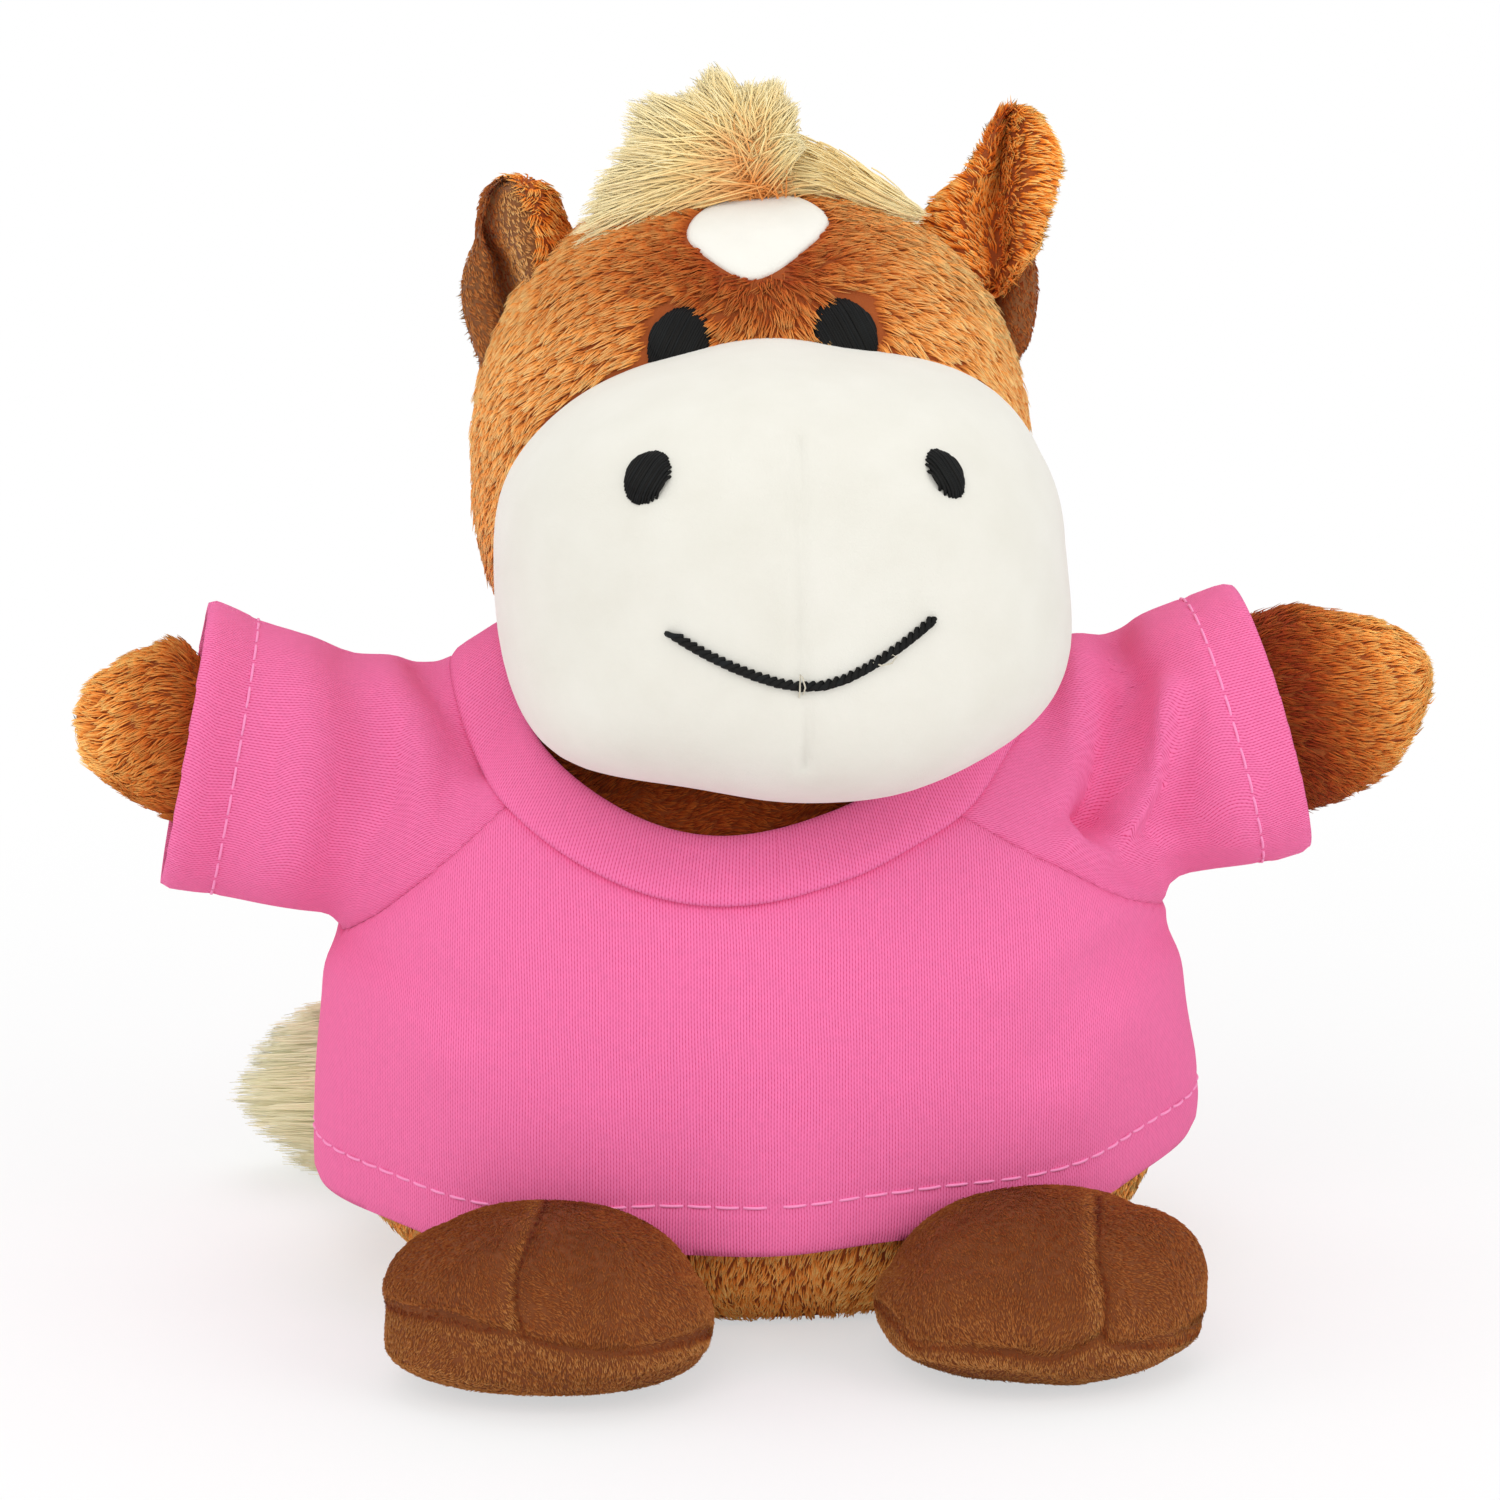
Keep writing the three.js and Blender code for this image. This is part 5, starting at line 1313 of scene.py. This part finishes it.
def settle(points, times=5):
    """Moves points on to the shirt's surface."""
    for _ in range(times):
        value = shirt_gap(points)
        slope = np.stack([(shirt_gap(points + step) - value) / 0.05 for step in np.eye(3) * 0.05], -1)
        size = np.maximum((slope ** 2).sum(1), 0.05)
        points = points - np.clip(value / size, -3, 3)[:, None] * slope
    return points


def sleeve_start(side):
    """A closed sleeve to start the cloth from, longer than it will be cut."""
    rings, count = 40, 64
    angle = np.linspace(0, 2 * math.pi, count, endpoint=False)
    c, s = np.cos(angle), np.sin(angle)
    reach = (np.abs(c) ** SLEEVE_SQUARE + np.abs(s) ** SLEEVE_SQUARE) ** (1 / SLEEVE_SQUARE)
    points = [(along, SLEEVE_DEPTH * ci / r, SLEEVE_HEIGHT * si / r)
              for along in np.linspace(SLEEVE_ROOT, SLEEVES[side] + 6, rings) for ci, si, r in zip(c, s, reach)]
    ends = [tuple(range(count)), tuple(range((rings - 1) * count, rings * count))[::-1]]
    return from_limb(points, ARMS[side]), [tuple(f) for f in ring_faces(rings, count)] + ends


union = bmesh.new()
start_mesh = bpy.data.meshes.new("shirt_start")
all_points, all_faces = swell(fine_ball, SHIRT), [tuple(f) for f in fine_faces]
for side in SLEEVES:
    sleeve_points, sleeve_faces = sleeve_start(side)
    all_faces += [tuple(len(all_points) + i for i in f) for f in sleeve_faces]
    all_points = np.concatenate([all_points, sleeve_points])
start_mesh.from_pydata((all_points * METRE).tolist(), [], all_faces)
union.from_mesh(start_mesh)
bmesh.ops.recalc_face_normals(union, faces=union.faces)
union.to_mesh(start_mesh)
union.free()
start = bpy.data.objects.new("shirt_start", start_mesh)
scene.collection.objects.link(start)
remesh = start.modifiers.new("even", "REMESH")
remesh.mode = "VOXEL"
remesh.voxel_size = 1.1 * METRE
even = bpy.data.meshes.new_from_object(start.evaluated_get(bpy.context.evaluated_depsgraph_get()))
bpy.data.objects.remove(start)
cloth_points = np.empty(len(even.vertices) * 3)
even.vertices.foreach_get("co", cloth_points)
cloth_points = settle(cloth_points.reshape(-1, 3) / METRE)
cloth_faces = [tuple(p.vertices) for p in even.polygons]
cloth_tree = BVHTree.FromPolygons(cloth_points.tolist(), cloth_faces)
cloth_normals = np.array([cloth_tree.find_nearest(Vector(p + 0.001))[1][:] for p in cloth_points])
cloth_seen = in_picture(cloth_points)
cloth_ahead = np.clip(0.5 - cloth_points[:, 1] / 8, 0, 1)
creases = np.zeros(len(cloth_points))
for line, rise, width in FOLDS:
    creases += rise * np.exp(-(near_line(cloth_seen, line) / SCALE_IN_PICTURE / width) ** 2)
cloth_points = cloth_points + cloth_normals * (creases * cloth_ahead)[:, None]
cloth_tree = BVHTree.FromPolygons(cloth_points.tolist(), cloth_faces)


NECK_SEEN = [(456, 680), (460, 700), (466, 724), (476, 748), (486, 770), (498, 792), (516, 812), (540, 834),
             (568, 855), (604, 875), (652, 892), (692, 900), (730, 904), (779, 899), (844, 876), (906, 844),
             (942, 827), (967, 809), (984, 785), (1001, 752)]
seam_places, _ = meet(cloth_tree, NECK_SEEN)
seam_places = np.concatenate([seam_places, [(37.0, -6, 0), (35.5, 8, 0), (27.5, 23, 0), (14, 30, 0), (0, 32, 0),
                                            (-14, 30, 0), (-28, 23, 0), (-37, 10, 0), (-39.3, -3, 0)]])
seam_turn = np.arctan2(seam_places[:, 0], -seam_places[:, 1])
order = np.argsort(seam_turn)
seam_turn, seam_reach = seam_turn[order], np.hypot(seam_places[:, 0], seam_places[:, 1])[order]
even_turn = np.linspace(-math.pi, math.pi, 361)[:-1]
even_reach = np.interp(even_turn, seam_turn, seam_reach, period=2 * math.pi)
even_reach = smoothed(even_reach, 12)


def past_neckline(points):
    """How far points are inside the neckband's seam, seen from above."""
    angle = np.arctan2(points[:, 0], -points[:, 1])
    inward = np.interp(angle, even_turn, even_reach, period=2 * math.pi) - np.hypot(points[:, 0], points[:, 1])
    return np.where(points[:, 2] > 52, inward, -9.0)


RAGLANS = {1: ((25.6, 67.4), (52.7, 51.2)), -1: ((-34.5, 69.0), (-56.8, 46.7))}
raglan_planes = {}
for sign, (top, end) in RAGLANS.items():
    along_seam = unit(np.subtract(end, top))
    raglan_planes[sign] = (np.array([top[0], 0, top[1]]),
                           np.array([-sign * along_seam[1], 0, sign * along_seam[0]]))


def over_raglan(points):
    """How far points are above the nearer raglan seam's plane, on the sleeve's side of it."""
    return np.where(points[:, 0] > 0, *((points - place) @ way for place, way in
                                        (raglan_planes[1], raglan_planes[-1])))


def cut_cloth(planes):
    """The cloth on the kept side of planes, each a point and a way that is cut off."""
    mesh = bmesh.new()
    verts = [mesh.verts.new(p) for p in cloth_points]
    for face in cloth_faces:
        mesh.faces.new([verts[i] for i in face])
    for place, way in planes:
        geometry = mesh.verts[:] + mesh.edges[:] + mesh.faces[:]
        bmesh.ops.bisect_plane(mesh, geom=geometry, plane_co=place, plane_no=way, clear_outer=True)
    mesh.verts.index_update()
    points = np.array([v.co[:] for v in mesh.verts])
    inside = past_neckline(points) < 1.4
    gone = [f for f in mesh.faces if not all(inside[v.index] for v in f.verts)]
    bmesh.ops.delete(mesh, geom=gone, context="FACES")
    loose = [v for v in mesh.verts if not v.link_faces]
    bmesh.ops.delete(mesh, geom=loose, context="VERTS")
    mesh.normal_update()
    mesh.verts.index_update()
    points = np.array([v.co[:] for v in mesh.verts])
    normals = np.array([v.normal[:] for v in mesh.verts])
    faces = [[v.index for v in f.verts] for f in mesh.faces]
    edges = {frozenset(v.index for v in e.verts) for e in mesh.edges if e.is_boundary}
    rim = [(a, b) for face in faces for a, b in zip(face, face[1:] + face[:1]) if frozenset((a, b)) in edges]
    mesh.free()
    return points, normals, faces, rim


def knit():
    """Shader group: plain knitting, wales of V stitches 0.76 mm apart, from a cloth's own lengths."""
    group, enter, leave = new_group("knit", {"Wale": "Float", "Course": "Float"},
                                    {"Height": "Float", "Lint": "Float"})
    cloth = add(group, "UVMap", uv_map="cloth").outputs[0]
    wobble = add(group, "TexNoise", {"Vector": cloth, "Scale": 60, "Detail": 1})
    split = add(group, "SeparateXYZ", {0: cloth})
    sway = worked_out(group, "MULTIPLY_ADD", wobble.outputs[0], 0.0008, split.outputs[0])
    wale = worked_out(group, "DIVIDE", sway, enter.outputs["Wale"])
    course = worked_out(group, "DIVIDE", split.outputs[1], enter.outputs["Course"])
    off_wale = worked_out(group, "SUBTRACT", worked_out(group, "FRACT", wale), 0.5)
    across = worked_out(group, "ABSOLUTE", off_wale)
    leg = worked_out(group, "SINE", worked_out(group, "MULTIPLY", across, 2 * math.pi))
    slanted = worked_out(group, "MULTIPLY_ADD", across, 1.1, course)
    stitch = worked_out(group, "SINE", worked_out(group, "MULTIPLY", slanted, 2 * math.pi))
    narrow = worked_out(group, "MULTIPLY_ADD", stitch, 0.22, 0.5)
    lint = add(group, "TexNoise", {"Vector": cloth, "Scale": 900, "Detail": 3})
    feed(leave, {"Height": worked_out(group, "POWER", leg, narrow), "Lint": lint.outputs[0]})
    return group


WALE, COURSE = 0.76, 0.62
pink_jersey, jersey_tree, jersey_surface = shader("pink_jersey")
stitch = add(jersey_tree, "Group", {"Wale": WALE * METRE, "Course": COURSE * METRE}, node_tree=knit())
spread = add(jersey_tree, "MapRange", {"Value": stitch.outputs["Height"], "From Min": 0.05, "From Max": 0.75})
yarn = mixed(jersey_tree, spread.outputs[0], written(214, 16, 92), written(246, 120, 174))
fleck = add(jersey_tree, "MapRange", {"Value": stitch.outputs["Lint"], "From Min": 0.3, "From Max": 0.7,
                                      "To Min": 0.97, "To Max": 1.03})
flecked = add(jersey_tree, "VectorMath", {0: yarn, "Scale": fleck.outputs[0]}, operation="SCALE")
relief = add(jersey_tree, "Bump", {"Strength": 0.5, "Distance": 0.25 * METRE, "Height": stitch.outputs["Height"]})
feed(jersey_surface, {"Base Color": flecked.outputs[0], "Normal": relief.outputs[0], "Roughness": 0.85,
                      "Specular IOR Level": 0.2, "Sheen Weight": 0.28, "Sheen Roughness": 0.4,
                      "Sheen Tint": written(255, 150, 200)})
seam_thread, _, seam_surface = shader("light_pink_thread")
feed(seam_surface, {"Base Color": written(250, 150, 200), "Roughness": 0.6})


section_angle = np.linspace(0, math.pi, 721)
section = np.stack([np.sin(section_angle), -np.cos(section_angle)], -1)
section_reach = (np.abs(section) / (SHIRT["side"], SHIRT["front"])) ** SHIRT["square"]
section_reach = section_reach.sum(1) ** (-1 / SHIRT["square"])
section_length = lengths_to(section * section_reach[:, None])


def torso_lengths(points):
    """Cloth lengths on the shirt's body: round from its front, and up."""
    angle = np.arctan2(np.abs(points[:, 0]), -points[:, 1])
    scale = np.hypot(points[:, 0], points[:, 1]) / np.interp(angle, section_angle, section_reach)
    return np.sign(points[:, 0]) * np.interp(angle, section_angle, section_length) * scale, points[:, 2]


def sleeve_lengths(points, side):
    """Cloth lengths on a sleeve: round from its top, and along the arm."""
    own = in_limb(points, ARMS[side])
    y, z = own[:, 1] / SLEEVE_DEPTH, own[:, 2] / SLEEVE_HEIGHT
    wider = (np.abs(y) ** SLEEVE_SQUARE + np.abs(z) ** SLEEVE_SQUARE) ** (1 / SLEEVE_SQUARE)
    return np.arctan2(y, z) * SLEEVE_ROUND * np.maximum(wider, 1), own[:, 0]


def panel(name, node, planes, lengths, hem_depth):
    """One panel of the shirt, cut from the cloth along planes and given its thickness."""
    points, normals, faces, rim = cut_cloth(planes)
    past = past_neckline(points)
    groove = -0.55 * np.exp(-(over_raglan(points) / 0.55) ** 2) - 0.7 * np.clip(past + 0.7, 0, 2)
    edge = hem_depth(points)
    round_edge = -0.5 * np.exp(-(edge / 0.7) ** 2) - 0.28 * np.exp(-((edge - TURNED_UP) / 0.5) ** 2)
    outer = points + normals * (groove + round_edge)[:, None]
    thick = JERSEY + TURN_UP * (edge < TURNED_UP)
    inner = points - normals * thick[:, None]
    count = len(points)
    solid = np.concatenate([outer, inner])
    solid_faces = [list(f) for f in faces] + [[i + count for i in f[::-1]] for f in faces]
    solid_faces += [[b, a, a + count, b + count] for a, b in rim]
    mesh = bpy.data.meshes.new(name)
    mesh.from_pydata((solid * METRE).tolist(), [], solid_faces)
    mesh.shade_smooth()
    u, v = lengths(points)
    u, v = np.tile(u, 2), np.tile(v, 2)
    loop_vertex = np.empty(len(mesh.loops), np.int32)
    mesh.loops.foreach_get("vertex_index", loop_vertex)
    loop_u, loop_v = u[loop_vertex], v[loop_vertex]
    starts = np.empty(len(mesh.polygons), np.int32)
    totals = np.empty(len(mesh.polygons), np.int32)
    mesh.polygons.foreach_get("loop_start", starts)
    mesh.polygons.foreach_get("loop_total", totals)
    first = np.repeat(loop_u[starts], totals)
    girth = 2 * math.pi * SLEEVE_ROUND
    past_seam = (loop_u - first > 50) * 1 - (loop_u - first < -50)
    loop_u = loop_u - girth * past_seam
    mesh.uv_layers.new(name="cloth").data.foreach_set(
        "uv", (np.stack([loop_u, loop_v], -1) * METRE).astype(np.float32).ravel())
    piece = finished(name, mesh, pink_jersey, None, "pink_jersey", node)
    fans = np.array([(f[0], f[i], f[i + 1]) for f in faces for i in range(1, len(f) - 1)])
    a, b, c = (points[fans[:, k]] for k in range(3))
    area = np.linalg.norm(np.cross(b - a, c - a), axis=1).sum() / 2
    return piece, area * METRE ** 2


def above_hem(points):
    """How far points are from the hem's edge."""
    return np.abs(points[:, 2] - (HEM[0] + HEM[1] * points[:, 1] + HEM[2] * points[:, 0]))


def before_cuff(side):
    """For one sleeve, how far points are from its cuff's edge."""
    return lambda points: np.abs(SLEEVES[side] - in_limb(points, ARMS[side])[:, 0])


def hold_at_shoulder(piece, side):
    """Bakes a sleeve's placement into its mesh. Where its ends would be held at body and arm is worked out but not
    used.
    """
    start, end = (from_limb((along, 0, 0), ARMS[side]) for along in SLEEVE_HOLD[side])
    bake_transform(piece)


hem_plane = ((0, 0, HEM[0]), unit(np.array([HEM[2], HEM[1], -1.0])))
halves = {}
for half, node, back in (("shirt_front_panel", "shirt_front", 1), ("shirt_back_panel", "shirt_back", -1)):
    halves[half] = panel(half, node, [hem_plane, ((0, 0, 0), (0, back, 0)), *raglan_planes.values()],
                         lambda p: torso_lengths(p * np.array([1, back, 1])), above_hem)
    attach(halves[half][0], "torso")
SLEEVE_HOLD = {"left": (5, 24), "right": (11, 29)}
sleeves = {}
for side, sign in (("left", 1), ("right", -1)):
    cuff = from_limb((SLEEVES[side], 0, 0), ARMS[side])
    place, way = raglan_planes[sign]
    sleeves[side] = panel(f"shirt_sleeve_{side}_panel", f"shirt_sleeve_{side}",
                          [(cuff, ARMS[side][1][:, 0]), (place, -way), ((0, 0, 0), (-sign, 0, 0))],
                          lambda p: sleeve_lengths(p, side), before_cuff(side))
    hold_at_shoulder(sleeves[side][0], side)


STITCH, STITCH_STEP = 2.9, 3.6


def running_stitch(name, places, facing, body=None):
    """A row of machine stitches along a closed line on the cloth, in light pink thread."""
    places, facing = (np.concatenate([part, part[:1]]) for part in (places, facing))
    far = lengths_to(places)
    share = np.linspace(0, 1, 7)
    stitches = []
    for start in np.arange(0, far[-1] - STITCH_STEP, STITCH_STEP):
        at = start + STITCH * share
        out = unit(along_line(facing, at, far))
        stitches.append(along_line(places, at, far) + out * (0.28 * np.sin(share * math.pi)[:, None] ** 0.5 - 0.32))
    draw = np.random.default_rng(len(stitches))
    return tubes(name, np.array(stitches), 0.21, draw.random((len(stitches), 2)), seam_thread, body,
                 "pink_jersey", sides=6)


def on_cloth(origins, ways):
    """Where lines from inside the shirt meet its cloth, and the outward direction there."""
    hits = [cloth_tree.ray_cast(Vector(o), Vector(w)) for o, w in zip(origins, ways)]
    return np.array([h[0][:] for h in hits]), np.array([h[1][:] for h in hits])


round_turn = np.linspace(0, 2 * math.pi, 400, endpoint=False)
ways = np.stack([np.sin(round_turn), -np.cos(round_turn), 0 * round_turn], -1)
ways[:, 2] = HEM[2] * ways[:, 0] + HEM[1] * ways[:, 1]
hem_seam = (0, 0, HEM[0] + TURNED_UP + 0.1)
running_stitch("shirt_hem_stitches", *on_cloth([hem_seam] * len(ways), ways), "torso")
for side in SLEEVES:
    axis = from_limb((SLEEVES[side] - TURNED_UP - 0.3, 0, 0), ARMS[side])
    ways = np.stack([0 * round_turn, np.sin(round_turn), np.cos(round_turn)], -1) @ ARMS[side][1].T
    hold_at_shoulder(running_stitch(f"shirt_cuff_{side}_stitches", *on_cloth([axis] * len(ways), ways)), side)

band_angles = np.linspace(0, 2 * math.pi, 240, endpoint=False)
outward = np.stack([np.sin(band_angles), -np.cos(band_angles), 0 * band_angles], -1)
seam = outward * np.interp(band_angles, even_turn, even_reach, period=2 * math.pi)[:, None]
seam[:, 2] = [cloth_tree.ray_cast(Vector((x, y, 120)), Vector((0, 0, -1)))[0].z for x, y, _ in seam]
seam[:, 2] = smoothed(seam[:, 2], 12)
turn_off = np.degrees(np.arccos(np.cos(band_angles)))
lean = np.radians(np.interp(turn_off, (0, 40, 70, 95, 130, 180), (32, 40, 56, 60, 38, 14)))
rising = np.stack([0 * lean, 0 * lean, np.cos(lean)], -1) - outward * np.sin(lean)[:, None]
tangent = unit(np.roll(seam, -1, 0) - np.roll(seam, 1, 0))
face_out = unit(np.cross(tangent, rising))
face_out *= np.sign((face_out * outward).sum(1))[:, None]
# The neckband's section: how far up along it, and how far out from its middle.
BAND = [(-0.6, 0.25), (0.0, 0.55), (0.8, 0.85), (2.4, 0.95), (4.5, 0.95), (6.6, 0.95), (8.2, 0.85), (8.9, 0.45),
        (9.1, 0.0), (8.9, -0.45), (8.2, -0.85), (6.0, -0.9), (3.0, -0.9), (0.0, -0.8)]
band_points = np.concatenate([seam + rising * up_by + face_out * out_by for up_by, out_by in BAND])
count = len(band_angles)
band_faces = ring_faces(len(BAND), count, closed=True)[:, INWARD]
neckband = sewn("shirt_neckband_rib", band_points, band_faces, pink_jersey, None, "pink_jersey", "shirt_neckband")
band_round, band_up = lengths_to(np.concatenate([seam, seam[:1]])), lengths_to(BAND + BAND[:1])
band_uv = [(band_round[j + beside], band_up[r + above]) for r in range(len(BAND)) for j in range(count)
           for beside, above in ((0, 0), (1, 0), (1, 1), (0, 1))]
neckband.data.uv_layers.new(name="cloth").data.foreach_set(
    "uv", (np.array(band_uv) * METRE * np.array([0.85, 1])).astype(np.float32).ravel())
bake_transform(neckband)
front_panel, front_area = halves["shirt_front_panel"]
back_panel, back_area = halves["shirt_back_panel"]
for side, flat in (("left", (0.113, 0.046)), ("right", (0.113, 0.050))):
    sleeve, sleeve_area = sleeves[side]

# ---------------------------------------------------------------------------------------------------
# Inside: loose polyester stuffing, and a cotton bag of plastic pellets in the bottom of the body that
# gives the toy its weight. They are the frame's own solids, in finished materials.

fill = ground_material("polyester_fill", (232, 232, 230), (250, 250, 250), patch=3, grain=0.5, bump=0.8)
cotton = ground_material("bag_cotton", (214, 206, 188), (234, 228, 214), patch=2, grain=0.4)
pellet_plastic = ground_material("plastic_pellets", (206, 212, 214), (232, 236, 238), patch=2.5, grain=2.2,
                                 bump=1.0)
INNER = {fill: ("body_stuffing", "neck_stuffing", "head_stuffing", "arm_left_stuffing", "arm_right_stuffing",
                "foot_left_stuffing", "foot_right_stuffing"),
         cotton: ("pellet_bag",), pellet_plastic: ("pellets",)}
for material, nodes in INNER.items():
    for node in nodes:
        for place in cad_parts[node].material_slots:
            place.material = material
